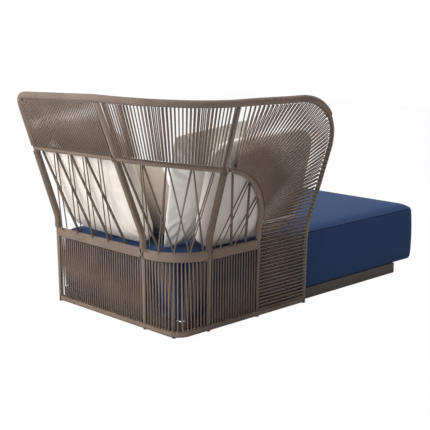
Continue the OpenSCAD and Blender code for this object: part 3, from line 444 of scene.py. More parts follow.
steel_coat = powder_coat("powder_coated_steel", "#75685d", "#807266")
plinth_coat = powder_coat("powder_coated_plinth_board", "#433c36", "#4c443e", 3.0)
zinc_coat = powder_coat("zinc_plated_screw_steel", "#8d8f90", "#a3a5a6", 1.0)
dark_plastic = powder_coat("moulded_nylon_glide", "#2d2c2d", "#38373a", 1.2)
print(steel_coat.name, plinth_coat.name, zinc_coat.name, dark_plastic.name)
# %% [markdown]
# ## Woven cloth
# The base wears a solution-dyed acrylic canvas in navy, and the cushions wear a looser, slubby
# weave. A plain weave is two sets of threads at right angles, so its height is the product of
# two waves. Real threads are 0.5 to 0.8 mm apart and are drawn 1.6 to 2.5 mm apart, as coarse as
# they need to be to show. The fuzz of the fibres is the shader's sheen, which is what makes the
# flat top look paler than the sides.
# %% Cloth finish
def woven_cloth(name, dark, light, thread_mm, sheen, tint="#ffffff", slub=0.5):
    """Height = warp wave times weft wave on the UV map in metres; tone = thread-long noise."""
    material, tree, principled = finish(name, Roughness=0.9, Sheen_Weight=sheen, Sheen_Roughness=0.38,
                                        Sheen_Tint=tint)
    uv = node(tree, "UVMap", uv_map="surface")
    threads = [node(tree, "TexWave", {"Vector": uv}, bands_direction=axis, Distortion=0.6, Detail=1.0,
                    Scale=1000 * WAVE_LENGTH / thread_mm).outputs["Fac"] for axis in "XY"]
    weave = node(tree, "Math", dict(enumerate(threads)), operation="MULTIPLY")
    slubs = []
    for stretch in ((60, 900, 1), (900, 60, 1)):
        along = node(tree, "Mapping", {"Vector": uv}, Scale=stretch)
        slubs.append(node(tree, "TexNoise", {"Vector": along}, Scale=1.0, Detail=2.0))
    slubby = node(tree, "Math", dict(enumerate(slubs)), operation="ADD")
    tone = node(tree, "MapRange", {"Value": slubby}, From_Min=1 - slub, From_Max=1 + slub)
    height = node(tree, "Math", {0: weave, 1: slubby}, operation="ADD")
    dress(tree, principled, tone, dark, light, height, strength=0.6, distance=0.00035)
    return material


navy_canvas = woven_cloth("navy_acrylic_canvas", "#082a54", "#0d3866", 1.6, 0.10, "#a9bbd8", 0.4)
cream_weave = woven_cloth("cream_slub_weave", "#e6ddd3", "#f4ede5", 2.2, 0.15)
tan_weave = woven_cloth("tan_slub_weave", "#ded0c2", "#eadfd3", 2.5, 0.15, "#fff4e6")
white_linen = woven_cloth("white_washed_linen", "#f3efe9", "#fbf8f3", 1.8, 0.15)
print(navy_canvas.name, cream_weave.name, tan_weave.name, white_linen.name)
# %% [markdown]
# ## Inner materials
# Inside the cover the base is a box of softwood boards and slats under foam. Nobody sees them
# while the cover is on, but the part can be taken to pieces, so each has its own finish:
# sawn pine with growth rings about 4 mm apart along the board, and open-cell foam.
# %% Wood and foam
def sawn_pine(name, dark, light, ring_mm=4.0):
    """Growth rings = stretched noise across the grain, with fine fibres along it."""
    material, tree, principled = finish(name, Roughness=0.7)
    along = node(tree, "Mapping", {"Vector": node(tree, "TexCoord").outputs["Object"]},
                 Scale=(1000 / ring_mm, 6, 1000 / ring_mm))
    grain = node(tree, "TexNoise", {"Vector": along}, Scale=0.35, Detail=4.0)
    dress(tree, principled, grain, dark, light, grain, strength=0.3, distance=0.0005)
    return material


def open_foam(name, dark, light, cell_mm=1.5):
    """Foam cells = a Voronoi pattern, whose walls stand up."""
    material, tree, principled = finish(name, Roughness=0.95)
    cells = node(tree, "TexVoronoi", {"Vector": node(tree, "TexCoord").outputs["Object"]},
                 Scale=1000 / cell_mm)
    dress(tree, principled, cells, dark, light, cells, strength=0.5, distance=0.0008)
    return material


pine = sawn_pine("sawn_pine_board", "#a5825a", "#c9a578")
foam = open_foam("open_cell_foam", "#d9c98f", "#efe4b8")
CARRIED = (
    (steel_coat, "floor_ring_tube seat_bar_back seat_bar_corner seat_bar_side mid_rod_back"),
    (steel_coat, "mid_rod_corner shell_brackets"), (zinc_coat, "bracket_screws"),
    (dark_plastic, "floor_pads end_glides"),
    (plinth_coat, "plinth_left_board plinth_right_board plinth_head_board plinth_foot_board"),
    (pine, "base_left_board base_right_board base_head_board base_foot_board base_floor_panel"),
    (pine, "centre_beam deck_slats"),
)
carried = [(name, material) for material, names in CARRIED for name in names.split()]
for name, material in carried:
    nodes[name].data.materials.clear()
    nodes[name].data.materials.append(material)
print(len(carried), "nodes keep their own shape")

# %% [markdown]
# ## Bare tubes
# The frame is bent steel tube. A bent tube is a circle carried along a path, so its points are a
# function of two numbers: the length along the path and the angle round it. The knee is eased
# with a short curve, because a mandrel bender can't fold a tube.
# %% Tube paths
def knee(s, forward=0.0):
    """The eased knee: a quadratic curve from upright to leaning, equally long each way."""
    t = np.linspace(0, 1, 9)[1:-1, None]
    low, middle, top = (shell(s + forward * swing(z), z)
                        for z in (KNEE_LOW, KNEE_Z, KNEE_HIGH))
    return low * (1 - t) ** 2 + 2 * middle * t * (1 - t) + top * t ** 2


LEG_FOOT = 20 + GAP   # the end legs stand on glides
bend, top_run, wing_run = outline()
upper = np.concatenate([bend, top_run, wing_run])
SHORT = 2   # the straight part of a post ends this much before a bend's first point
rise = shell(0, np.linspace(KNEE_HIGH, TOP_Z[0] - END_BEND - SHORT, 12))
fall_z = np.linspace(WING_BEND_Z - SHORT, KNEE_HIGH, 12)
front_leg = leg(S_FRONT, LEG_FOOT, n=16)
front_leg[:, 1] -= swing(front_leg[:, 2])
end_side = np.concatenate([leg(0.0, LEG_FOOT, n=16), knee(0.0), rise])
front_side = np.concatenate([shell(S_FRONT + swing(fall_z), fall_z), knee(S_FRONT, 1.0)[::-1],
                             front_leg[::-1]])
outline_path = np.concatenate([end_side, shell(upper[:, 0], upper[:, 1]), front_side])
outline_s = np.concatenate([np.zeros(len(end_side)), upper[:, 0], np.full(len(front_side), S_FRONT)])


def tube_piece(name, path, out, radius, sides=24, step=12):
    """A bent tube: a ring of points every few millimetres along the path."""
    line, line_out, run = even(path, out, step)
    return grid_piece(name + "_bent", rings(line, line_out, radius, sides), tube_uv(run, radius, sides),
                      steel_coat, stands_for=[name])


POST_FOOT = RING_Z + RING_WOUND + GAP
ARCH_FROM, ARCH_ROPE_FROM = 0.055, 0.12   # shares of the arch, from the corner post
tube_piece("outline_tube", outline_path, outward(outline_s), OUTLINE_R)
for name, s in (("back_corner_post", S_BACK), ("side_corner_post", S_SIDE)):
    cut = (OUTLINE_WOUND + GAP) * np.cos(np.arctan(keyed(s, LEAN))) + SLACK
    high = np.linspace(KNEE_HIGH, top_height(s) - cut, 16)
    path = np.concatenate([leg(s, POST_FOOT), knee(s), shell(s, high)])
    tube_piece(name, path, outward(s), POST_R)
arch_path = np.concatenate([arch(np.linspace(ARCH_FROM, 1, 60)), leg(S_ARCH, POST_FOOT)[::-1]])
tube_piece("arch_tube", arch_path, outward(S_ARCH), ARCH_R)

# %% [markdown]
# ## Wound rails
# The rails are bound with rope, turn against turn. Modelling every turn as its own ring would
# take thousands of pieces, so each binding is one skin whose radius swells and dips: along the
# rail the radius is a row of half circles, one for each 6 mm turn, and the row is shifted a
# whole turn once round the rail, which makes it a true helix.
# %% Helical binding
SINK = 0.25   # the skin lies this much lower than whole turns would


def half_circles(turns):
    """The rope's height over its rail: a half circle in each turn."""
    across = 2 * (turns - np.floor(turns)) - 1
    return ROPE_R + ROPE_R * np.sqrt(np.maximum(1 - across ** 2, 0)) - SINK


def binding(name, path, out, core_r, sides=16, step=1.0, rope=None, stands_for=None):
    """Radius = core + half circles of (length / pitch - angle / turn)."""
    line, line_out, run = even(path, out, step)
    turns = run[:, None] / ROPE_D - np.arange(sides + 1) / sides
    points = rings(line, line_out, core_r + half_circles(turns)[:, :-1], sides)
    length = np.arange(sides + 1) / sides * 2 * np.pi * (core_r + ROPE_R) / 1000 + 0 * turns
    uv = np.stack([turns * np.pi * ROPE_R / 1000, length], -1)
    return grid_piece(name + "_wound", points, uv, rope or taupe_rope,
                      stands_for=stands_for or [name])


ROPE_END = 50   # degrees of the wing's corner that the rope goes round
ROPE_START = TOP_Z[0] - END_BEND - 5
top_part = np.concatenate([[[0, ROPE_START]], bend, top_run, wing_run[:len(wing_run) * ROPE_END // 90]])
binding("top_rail_rope", shell(top_part[:, 0], top_part[:, 1]), outward(top_part[:, 0]), OUTLINE_R)
for name, s0, s1 in (("mid_rope_back", OUTLINE_R, S_BACK - POST_R),
                     ("mid_rope_corner", S_BACK + POST_R, S_SIDE - POST_R)):
    s = np.linspace(s0 + SLACK + GAP, s1 - SLACK - GAP, 60)
    binding(name, shell(s, mid_height(s)), outward(s), MID_R)
arch_rope_path = np.concatenate([arch(np.linspace(ARCH_ROPE_FROM, 1, 60)),
                                 shell(S_ARCH, np.linspace(KNEE_Z - ROPE_D, BAND_TOP, 6))])
binding("arch_rope", arch_rope_path, outward(S_ARCH), ARCH_R)
# %% Floor ring
ring_s = np.concatenate([np.linspace(OUTLINE_R + GAP, S_BACK, 40), np.linspace(S_BACK, S_SIDE, 80)[1:],
                         np.linspace(S_SIDE, S_FRONT - OUTLINE_R - GAP, 40)[1:]])
binding("floor_ring_rope", *floor_plan(ring_s), RING_TUBE_R)
# %% Wound posts
TURNS = 3
LASHED_TOP = BAND_TOP + TURNS * (ROPE_D + GAP)


def rail_room(s):
    """How far a post's rope stays from the middle rail's line, measured upright."""
    return (MID_WOUND + SLACK) * np.cos(np.arctan(keyed(s, LEAN)))


for s, low, r in ((0.0, BAND_TOP, OUTLINE_R), (S_BACK, LASHED_TOP, POST_R),
                  (S_SIDE, LASHED_TOP, POST_R)):
    foot = shell(s, np.linspace(low, KNEE_LOW, 3))
    above = shell(s, np.linspace(KNEE_HIGH, mid_height(s) - rail_room(s), 20))
    binding(f"post_ropes_{int(s)}", np.concatenate([foot, knee(s), above]), outward(s), r,
            rope=shaded_lashing_rope, stands_for=["post_ropes"])
above = shell(0, np.linspace(MID_Z[0] + rail_room(0.0), ROPE_START - GAP, 20))
binding("post_ropes_upper", above, outward(0), OUTLINE_R, rope=shaded_lashing_rope, stands_for=["post_ropes"])

# %% [markdown]
# ## Seat band
# The seat band is rope wound round a flat bar, so its section is a rounded rectangle instead of
# a circle. The same row of half circles lifts its surface, one for each turn. The section is
# walked once round by its own length, which keeps the turns square to the bar.
# %% Band section
def band_section(count=36):
    """A rounded rectangle walked evenly: out, up, the normal's out and up, and the length so far."""
    r, w, h = ROPE_R, BAR_T / 2, BAR_H / 2
    quarter = np.pi / 2
    marks = np.cumsum([0] + [2 * h, quarter * r, 2 * w, quarter * r] * 2)
    l = (np.arange(count) + 0.5) / count * marks[-1]
    out = np.interp(l, marks, [w, w, w, -w, -w, -w, -w, w, w])
    up = np.interp(l, marks, [-h, h, h, h, h, -h, -h, -h, -h])
    angle = np.interp(l, marks, quarter * np.array([0, 0, 1, 1, 2, 2, 3, 3, 4]))
    return out, up, np.cos(angle), np.sin(angle), l


def band_piece(name, s0, s1):
    """Rope on a flat bar: the section plus the rope's half circles, carried along the band."""
    s = np.linspace(s0 + GAP, s1 - GAP, int(s1 - s0 - 2 * GAP) + 1)[:, None]
    out, up, normal_out, normal_up, l = band_section()
    turns = s / ROPE_D - l / (l[-1] + l[0])
    lift = half_circles(turns)
    points = shell(s + 0 * turns, BAND_Z + up + normal_up * lift, out + normal_out * lift)
    wide = np.concatenate([turns, turns[:, :1] - 1], 1)
    along = np.broadcast_to(np.append(l, l[-1] + l[0]) / 1000, wide.shape)
    uv = np.stack([wide * np.pi * ROPE_R / 1000, along], -1)
    return grid_piece(name + "_wound", points[:, ::-1], uv[:, ::-1], taupe_rope,
                      stands_for=[name])


band_piece("seat_band_rope_back", OUTLINE_R, S_BACK - POST_R)
band_piece("seat_band_rope_corner", S_BACK + POST_R, S_SIDE - POST_R)
band_piece("seat_band_rope_side", S_SIDE + POST_R, S_ARCH - ARCH_R)

# %% [markdown]
# ## Stretched cords
# Between the rails the rope runs taut. Hundreds of cords repeat one plain shape, so each is a
# tube of eight sides, and the whole bundle of a panel is worked out at once: two arrays of end
# points, and a cut at each end where the cord meets the turns of the rail.
# %% Cord bundle
def slant(cord_dir, rail_dir):
    """The cosine of the angle between a cord and its rail, and the sine that lengthens a cut."""
    c = np.minimum(np.abs((unit(cord_dir) * unit(rail_dir)).sum(-1)), 0.9)
    return c, np.sqrt(1 - c * c)


def cut_at(rail_r, cord_dir=None, rail_dir=None):
    """Where a cord in the rope layer of a rail stops, longer where it meets the rail at a slant."""
    square = np.sqrt(rail_r ** 2 - (rail_r - ROPE_D) ** 2) + GAP
    if cord_dir is None:
        return square
    c, sine = slant(cord_dir, rail_dir)
    flat = np.sqrt((rail_r + ROPE_R) ** 2 - (rail_r - ROPE_R) ** 2) + GAP
    return (square + (flat - square) * c) / sine


NO_CORD = [0.31, 0.17, 0.93]   # a direction that no cord has, to measure a cord's sides from
UV_SHIFT = 1.7   # from cord to cord, so that their braids don't line up


def cords(name, a, b, cut_a=0.0, cut_b=0.0, sides=8, rope=None):
    """Straight tubes from a to b, all at once; sides, rows and UV are the same for each cord."""
    d = unit(b - a)
    a, b = a + d * np.reshape(cut_a, (-1, 1)), b - d * np.reshape(cut_b, (-1, 1))
    points = rings(np.stack([a, b], 1), np.cross(d, NO_CORD)[:, None], ROPE_R, sides)
    run = np.outer(np.linalg.norm(b - a, axis=1), [0, 1]) + UV_SHIFT * np.arange(len(a))[:, None]
    return grid_piece(name + "_taut", points, tube_uv(run, ROPE_R, sides), rope or taupe_rope,
                      stands_for=[name])


def both_layers(s):
    """Each station twice: once for the outer layer of cords and once for the inner one."""
    return np.repeat(np.atleast_1d(s), 2), np.tile([1.0, -1.0], len(np.atleast_1d(s)))


CLEAR = OUTLINE_R + ROPE_R + GAP


def spread(s0, s1, pitch, first=CLEAR, crowd=0.0):
    """Stations a pitch apart, clear of the posts; a crowd is closer together at s0 than at s1."""
    low, high = s0 + first, s1 - CLEAR
    f = np.linspace(0, 1, int(round((high - low) / pitch)) + 1)
    return low + (high - low) * f * (1 - crowd * (1 - f))


def heading(line, at, step=1.0):
    """Which way a line goes at some places: the point a step ahead less the point a step behind."""
    return line(at + step) - line(at - step)


print("a cord is cut", round(cut_at(RING_WOUND), 1), "mm from a rail's middle")
# %% Upright cords below the seat band
UPRIGHT_PITCH, FOOT_CUT = 16.5, 0.9
for name, s0, s1 in (("back", 0.0, S_BACK), ("corner", S_BACK, S_SIDE), ("side", S_SIDE, S_ARCH)):
    s, k = both_layers(spread(s0, s1, UPRIGHT_PITCH))
    foot, n = floor_plan(s)
    low = foot + n * (k * (RING_TUBE_R + ROPE_R))[:, None]
    high = shell(s, BAND_Z - BAND_HALF, k * (BAR_T / 2 + ROPE_R))
    cords("base_cords_" + name, low, high, cut_at(RING_WOUND) + FOOT_CUT, GAP)
# %% Level cords across the wing's front
LEVEL_PITCH = 17
TUCK = 5   # a cord's end stays this far inside the bare tube's outline
z, k = both_layers(np.arange(RING_Z + RING_WOUND + ROPE_D, KNEE_Z + LEVEL_PITCH / 2, LEVEL_PITCH))
x = shell(S_ARCH, z)[:, 0] + FLARE_SIDE * np.maximum(BAND_Z - z, 0) / (BAND_Z - RING_Z)
past = z - KNEE_Z
eased = LEAN[2] / 4 * np.where(past < 0, np.maximum(past + KNEE_SOFT, 0), KNEE_SOFT - past)
roped = z > BAND_TOP - GAP - ROPE_R
post_side = x - k * (ARCH_R + ROPE_R + np.where(roped, 0, GAP))
wing_a = np.stack([post_side, 0 * z - ARCH_Y, z], -1)
wing_b = np.stack([x - eased - k * CLEAR, -WING_L - swing(z), z], -1)
cords("wing_front_cords", wing_a, wing_b, np.where(roped, cut_at(ARCH_WOUND), 0), TUCK)
# %% Close cords above the middle rail
def end_height(s):
    """The top rail's height, which drops round the end bend as a quarter circle."""
    drop = np.sqrt(np.maximum(END_BEND ** 2 - (END_BEND - np.minimum(s, END_BEND)) ** 2, 0))
    return np.where(s < END_BEND, TOP_Z[0] - END_BEND + drop, top_height(s))


for name, s0, s1, pitch, first, crowd in (("back", 0.0, S_BACK, 14.5, CLEAR + ROPE_D, 0),
                                          ("corner", S_BACK, S_SIDE, 7.7, CLEAR, 0.15)):
    s, k = both_layers(spread(s0, s1, pitch, first, crowd))
    a = off_panel(s, mid_height(s), k * (MID_R + ROPE_R))
    b = off_panel(s, end_height(s), k * (OUTLINE_R + ROPE_R))
    rail_way = heading(lambda s: shell(s, end_height(s)), s)
    cords("upper_cords_" + name, a, b, cut_at(MID_WOUND), cut_at(OUTLINE_WOUND, b - a, rail_way))
# %% Cords that fan out from the arch
CORNER_RUN = np.pi / 2 * np.sqrt((WING_BEND_L ** 2 + WING_BEND_H ** 2) / 2)
EDGE_RUNS = np.cumsum([0, WING_TOP_S - S_SIDE, CORNER_RUN, WING_BEND_Z - KNEE_Z])


def wing_edge(f):
    """The wing's outer edge as (s, z): along the top, round the ellipse, down the front post."""
    l = f * EDGE_RUNS[-1]
    q = np.clip((l - EDGE_RUNS[1]) / CORNER_RUN, 0, 1) * np.pi / 2
    s = np.where(l < EDGE_RUNS[1], S_SIDE + l, WING_TOP_S + WING_BEND_L * np.sin(q))
    z = np.where(l < EDGE_RUNS[1], top_height(S_SIDE + l), WING_BEND_Z + WING_BEND_H * np.cos(q))
    z = z - np.maximum(l - EDGE_RUNS[2], 0)
    return np.where(l > EDGE_RUNS[2], S_FRONT + swing(z), s), z


FAN = 45
EDGE_FIRST, EDGE_SPAN, EDGE_CROWD = 0.035, 0.94, 0.2   # shares of the wing's edge
ARCH_FIRST, ARCH_SPAN = 0.13, 0.795   # shares of the arch
f, k = both_layers(np.arange(FAN) / (FAN - 1))
g = EDGE_FIRST + EDGE_SPAN * f * (1 + EDGE_CROWD * (1 - f))
q = ARCH_FIRST + ARCH_SPAN * f
rope_stops = (EDGE_RUNS[1] + CORNER_RUN * ROPE_END / 90) / EDGE_RUNS[-1]
roped = g < rope_stops + 0.02
a = arch(q, k * (ARCH_R + ROPE_R))
b = off_panel(*wing_edge(g), k * np.where(roped, OUTLINE_R + ROPE_R, CLEAR))
edge_way = heading(lambda g: shell(*wing_edge(g)), g, 0.01)
cords("wing_fan_cords", a, b, cut_at(ARCH_WOUND, b - a, heading(arch, q, 0.01)),
      np.where(roped, cut_at(OUTLINE_WOUND, b - a, edge_way), TUCK))
# %% [markdown]
# ## Open cross lacing
# Between the seat band and the middle rail one cord zigzags, up to a knot on the rail and down
# to the band again. Here it is two sets of straight cords that lean opposite ways. The second
# set stands one rope further out, so that the two pass each other without touching.
# %% Cords from knot to knot
# How far a cord stands off the rail, the band and its neighbour, and how far it laps the band.
LACE_TOP, LACE_FOOT, LACE_BESIDE, LACE_OVERLAP = ROPE_R + GAP, ROPE_R + 1, ROPE_R + 0.15, 8
LACE_CUT = 1.2


def cut_under(rail_r, cord_dir, rail_dir):
    """Where a cord stops under a rail: the rail's radius, and more where it comes in at a slant."""
    c, sine = slant(cord_dir, rail_dir)
    return (rail_r + GAP + ROPE_R * c) / sine


def lacing(name, rail, rail_way, feet, rail_r):
    """One cord leans each way from every knot; the ones that lean back pass over the others."""
    beside = unit(rail_way) * LACE_BESIDE
    ones = np.ones(len(feet) - 1)
    bundle = []
    for k in (1, -1):
        a = (rail(k * LACE_TOP) + beside)[:-1]
        b = shell(feet[1:], BAND_TOP, k * LACE_FOOT)
        bundle.append((a, b, cut_under(rail_r, b - a, rail_way[:-1]), LACE_CUT * ones))
        a = (rail(k * 2 * LACE_TOP) - beside)[1:]
        foot_z = BAND_TOP - (LACE_OVERLAP if k > 0 else 0)
        b = shell(feet[:-1], foot_z, k * (BAR_T / 2 + ROPE_D + LACE_TOP))
        bundle.append((a, b, cut_under(rail_r, b - a, rail_way[1:]), 0 * ones))
    return cords(name, *(np.concatenate(part) for part in zip(*bundle)), rope=shaded_lashing_rope)


def along_mid(s):
    """The middle rail as a function of the stand-off, and its direction."""
    way = heading(lambda s: shell(s, mid_height(s)), s)
    return (lambda e: off_panel(s, mid_height(s), np.full(len(s), e))), way


LACE_FIRST, LACE_LAST, LACE_PITCH = 52, 26, 118.0
s = np.arange(LACE_FIRST, S_BACK - LACE_LAST, LACE_PITCH)
lacing("lacing_back", *along_mid(s), s, MID_WOUND)
s = S_BACK + (S_SIDE - S_BACK) * (0.1 + 0.2 * np.arange(5))
lacing("lacing_corner", *along_mid(s), s, MID_WOUND)
knots = np.array([0.09, 0.37, 0.62])
lacing("lacing_side", lambda e: arch(knots, e), heading(arch, knots, 0.01),
       S_SIDE + (S_ARCH - S_SIDE) * np.array([0.14, 0.43, 0.72]), ARCH_WOUND)
# %% [markdown]
# ## Lashings
# Where the rails cross the corner posts, the maker ties them with a few turns of rope. A lashing
# is a ring of rope that lies round both tubes, so its path is a circle, and three of them sit
# side by side above the seat band. Two more cross each other over the band, and two over the
# middle rail.
# %% Turns round the corner posts
def rope_loops(name, paths, outs, stands_for=(), sides=10):
    """Closed turns of rope: a circle carried round each closed path, joined to itself."""
    points = rings(paths, outs, ROPE_R, sides, closed=True)
    points = np.concatenate([points, points[:, :1]], 1)
    run = np.broadcast_to(np.linspace(0, 100, points.shape[1]), points.shape[:2])
    return grid_piece(name, points, tube_uv(run, ROPE_R, sides), shaded_lashing_rope, caps=False,
                      stands_for=stands_for)


angle = np.linspace(0, 2 * np.pi, 28, endpoint=False)
circle = np.stack([np.cos(angle), np.sin(angle), 0 * angle], -1)
turns = [np.array([*shell(s, 0.0)[:2], BAND_TOP + ROPE_R + i * (ROPE_D + GAP)])
         + circle * (POST_R + ROPE_R + GAP) for s in (S_BACK, S_SIDE) for i in range(TURNS)]
rope_loops("post_bindings_tied", np.stack(turns), circle, ["post_bindings"])
# %% Crossed lashings over the middle rail and the seat band
def crossed(z, s, tilt, reach, depth):
    """A turn that runs slantwise round post and rail: an ellipse square to a tilted direction."""
    n = tilted(s, np.arctan(np.where(z > KNEE_Z, keyed(s, LEAN), 0)))
    along = unit(heading(lambda s: shell(s, z), s))
    up = np.cross(along, n)
    up = up * np.sign(up[2])
    wide = along * np.cos(tilt) + up * np.sin(tilt)
    a = angle[:, None]
    squash = np.abs(np.cos(a)) ** 0.75 * np.sign(np.cos(a))
    path = shell(s, z) + wide * reach * squash + n * depth * np.sin(a)
    return path, n * np.sin(a) + wide * np.cos(a)


# Height, station, tilt, reach and depth.
LASHINGS = [(mid_height(s), s, 0.75, 21, 16.5) for s in (S_BACK, S_SIDE)]
LASHINGS += [(BAND_Z, s, 0.95, 32, 14.5) for s in (S_BACK, S_SIDE)]
pairs = [crossed(z, s, way * tilt, reach, depth)
         for z, s, tilt, reach, depth in LASHINGS for way in (1, -1)]
rope_loops("rail_lashings", *(np.stack(part) for part in zip(*pairs)))

# %% [markdown]
# ## Upholstered base
# The base wears a fitted cover. Seen from above it is a rounded rectangle, and seen from the
# side it has one profile: hem, a slightly bulging side, a seam, a soft shoulder and a low crown.
# So the whole cover is that profile carried round the rectangle. The profile starts as the
# few points that the solid has, and cutting each corner at a quarter and at three quarters,
# three times over, turns it into a smooth curve. The seam is pulled in like a shallow groove.
# %% Cover profile
BASE_L, BASE_W, BASE_X, BASE_Y = 1744, 880, 25, 37
HEAD_R, FOOT_R, SEAM_Z, CROWN_Z, HEM_Z, BULGE = 95, 42, 332, 370, 54, 6
mid_x, mid_y = BASE_X + BASE_W / 2, -BASE_Y - BASE_L / 2
rows = np.array([[BULGE + 16, HEM_Z + 0.4], [BULGE + 2, HEM_Z], [BULGE - 3, HEM_Z + 30],
                 [0, (HEM_Z + SEAM_Z) / 2], [BULGE - 3, SEAM_Z - 40], [BULGE, SEAM_Z],
                 [BULGE + 9, SEAM_Z + 10], [BULGE + 36, CROWN_Z - 11], [BULGE + 120, CROWN_Z - 4],
                 [300, CROWN_Z - 0.8], [BASE_W / 2, CROWN_Z]], float)
for _ in range(3):
    cut = np.stack([0.75 * rows[:-1] + 0.25 * rows[1:], 0.25 * rows[:-1] + 0.75 * rows[1:]], 1)
    rows = np.concatenate([rows[:1], cut.reshape(-1, 2), rows[-1:]])
run = run_along(rows)
RISING, SEAM_HALF = 60, 14   # rows from the hem to the shoulder, and millimetres beside the seam
seam_run = np.interp(SEAM_Z, rows[:RISING, 1], run[:RISING])
seam_steps = seam_run + np.linspace(-SEAM_HALF, SEAM_HALF, 29)
at = np.unique(np.concatenate([np.linspace(0, run[-1], 60), seam_steps]))
profile = read_at(at, run, rows)
# A groove 5 mm deep, with a lip of 1.3 mm on each side of it.
groove = 5.0 * np.exp(-((at - seam_run) / 2.4) ** 2)
groove -= 1.3 * np.exp(-((np.abs(at - seam_run) - 5) / 3) ** 2)
print("profile", len(profile), "rows, seam at", round(float(seam_run)), "mm of", round(float(run[-1])))
# %% Cover surface
def rounded_loop(inset, corner_steps=10, long_steps=70, short_steps=34):
    """A rounded rectangle: four arcs and four straights, with the same count at every inset."""
    inset = np.asarray(inset, float)[:, None]
    w, l = BASE_W / 2 - inset, BASE_L / 2 - inset
    arcs, loop = [], []
    for c in range(4):
        r = np.minimum((HEAD_R if c == 1 else FOOT_R) - 0.5 * np.minimum(inset, BULGE), w)
        sx, sy = (1 if c in (0, 3) else -1), (1 if c < 2 else -1)
        q = (c + np.linspace(0, 1, corner_steps + 1)) * np.pi / 2
        arcs.append(np.stack([sx * (w - r) + r * np.cos(q), sy * (l - r) + r * np.sin(q)], -1))
    for c in range(4):
        t = np.linspace(0, 1, (short_steps if c % 2 == 0 else long_steps) + 1)[1:-1, None]
        loop += [arcs[c], arcs[c][:, -1:] * (1 - t) + arcs[(c + 1) % 4][:, :1] * t]
    return np.concatenate(loop, 1)


MEASURED = 20   # the row whose length round the cover sets the UV map
plan = rounded_loop(profile[:, 0] + groove)
x, y = plan[..., 0], plan[..., 1]
around = run_along(np.concatenate([plan[MEASURED], plan[MEASURED, :1]]))
phase = around[None, :-1] / around[-1] * 2 * np.pi
# Puckers above the seam, as two sets of small waves round the cover, and broad dents on the top.
above_seam = np.exp(-((at[:, None] - seam_run - 9) / 11) ** 2)
pucker = above_seam * (np.sin(phase * 61) + np.sin(phase * 97 + 1.3))
dent = smooth((profile[:, :1] - 60) / 120) * (np.sin(x / 190 + 0.6) * np.sin(y / 260 + 1.1) - 0.6) * 1.2
cover_points = np.stack([mid_x + x, mid_y + y, profile[:, 1:2] + 0.35 * pucker + dent], -1)
uv = np.stack(np.broadcast_arrays(around / 1000, at[:, None] / 1000), -1)
top_rows = profile[:, 0] > BULGE + 20
flat_uv = np.concatenate([plan, plan[:, :1]], 1) / 1000
uv = np.where(top_rows[:, None, None], flat_uv, uv)
cover = grid_piece("base_cover_sewn", cover_points, uv, navy_canvas, caps=False,
                   stands_for=["base_cover"])
# %% Close the ridge and the hem
import bmesh


def close_mesh(piece, distance=0.0004):
    """Merges doubled points, as along a ridge or a seam, and fills what is still open."""
    mesh = bmesh.new()
    mesh.from_mesh(piece.data)
    bmesh.ops.remove_doubles(mesh, verts=mesh.verts, dist=distance)
    edges = [e for e in mesh.edges if e.is_boundary]
    if edges:
        bmesh.ops.holes_fill(mesh, edges=edges, sides=0)
    bmesh.ops.recalc_face_normals(mesh, faces=mesh.faces)
    mesh.to_mesh(piece.data)
    open_edges = sum(e.is_boundary for e in mesh.edges)
    mesh.free()
    return open_edges


print("open edges left on the cover:", close_mesh(cover))

# %% [markdown]
# ## Foam under the cover
# Two foam pieces fill the cover: a block on the slats with a crowned top, and a wall round the
# wooden box. Both are the same rounded rectangle as the cover, drawn in by the cloth.
# %% Foam pieces
def foam_piece(name, rows, caps=True):
    """Rounded rectangles stacked by (inset, height); without caps the rows close to a frame."""
    rows = np.array(rows, float)
    loop = rounded_loop(rows[:, 0], 6, 20, 10)
    points = np.stack([mid_x + loop[..., 0], mid_y + loop[..., 1], rows[:, 1:2] + 0 * loop[..., 0]], -1)
    uv = np.zeros((len(rows), loop.shape[1] + 1, 2))
    piece = grid_piece(name + "_cut", points, uv, foam, caps=caps, stands_for=[name])
    return piece


foam_piece("mattress_foam", [[12, 265.6], [12, 320], [18, 330], [48, 340], [75, 345], [125, 348]])
wall = foam_piece("side_foam", [[12, 60], [12, 264.4], [38.6, 264.4], [38.6, 60], [12, 60]], caps=False)
print("open edges left on the wall:", close_mesh(wall))

# %% [markdown]
# ## Cushions
# A cushion is two sheets sewn round their edge and stuffed. The stuffing pushes the middle out,
# the seam holds the edge in, and so the sides draw in between the corners and small folds run in
# from the seam. The two-sheet shape is worked out on a grid, folds and all, and a short cloth
# simulation with air pressure inside fills it out. Each point may move 14 mm at most, and the
# cushion then slides down its own slope until it stands on the mattress again.
# %% Pillow grid
DRAW_IN, FOLD_REACH = 0.04, 0.13


def pillow(w, h, back_t, front_t, fullness, rounded, folds, n=56):
    """x and z pull in mid-side and at corners; thickness = ((1 - u u)(1 - v v)) to the power fullness.

    Folds run in from the seam: waves round the edge that fade towards the middle.
    """
    u = np.sin(np.linspace(-1, 1, n + 1) * np.pi / 2)
    u, v = np.meshgrid(u, u, indexing="ij")
    corner = rounded * (u * v) ** 4
    x = w / 2 * u * (1 - DRAW_IN * (1 - v * v) - corner)
    z = h / 2 * v * (1 - DRAW_IN * (1 - u * u) - corner) + h / 2
    t = np.maximum((1 - u * u) * (1 - v * v), 0) ** fullness
    inwards = (1 - np.maximum(abs(u), abs(v))) / FOLD_REACH
    angle = np.arctan2(v, u)
    waves = [np.sin(41 * angle + 2.1 * np.sin(5 * angle + side)) + 0.6 * np.sin(17 * angle + 4 * side)
             for side in (0, 1)]
    fold = [folds * inwards * np.exp(1 - inwards) * wave for wave in waves]
    front = np.stack([x, -front_t * t - fold[0] * np.minimum(t * 2, 1), z], -1)
    rear = np.stack([x, back_t * t + fold[1] * np.minimum(t * 2, 1), z], -1)
    return front, rear


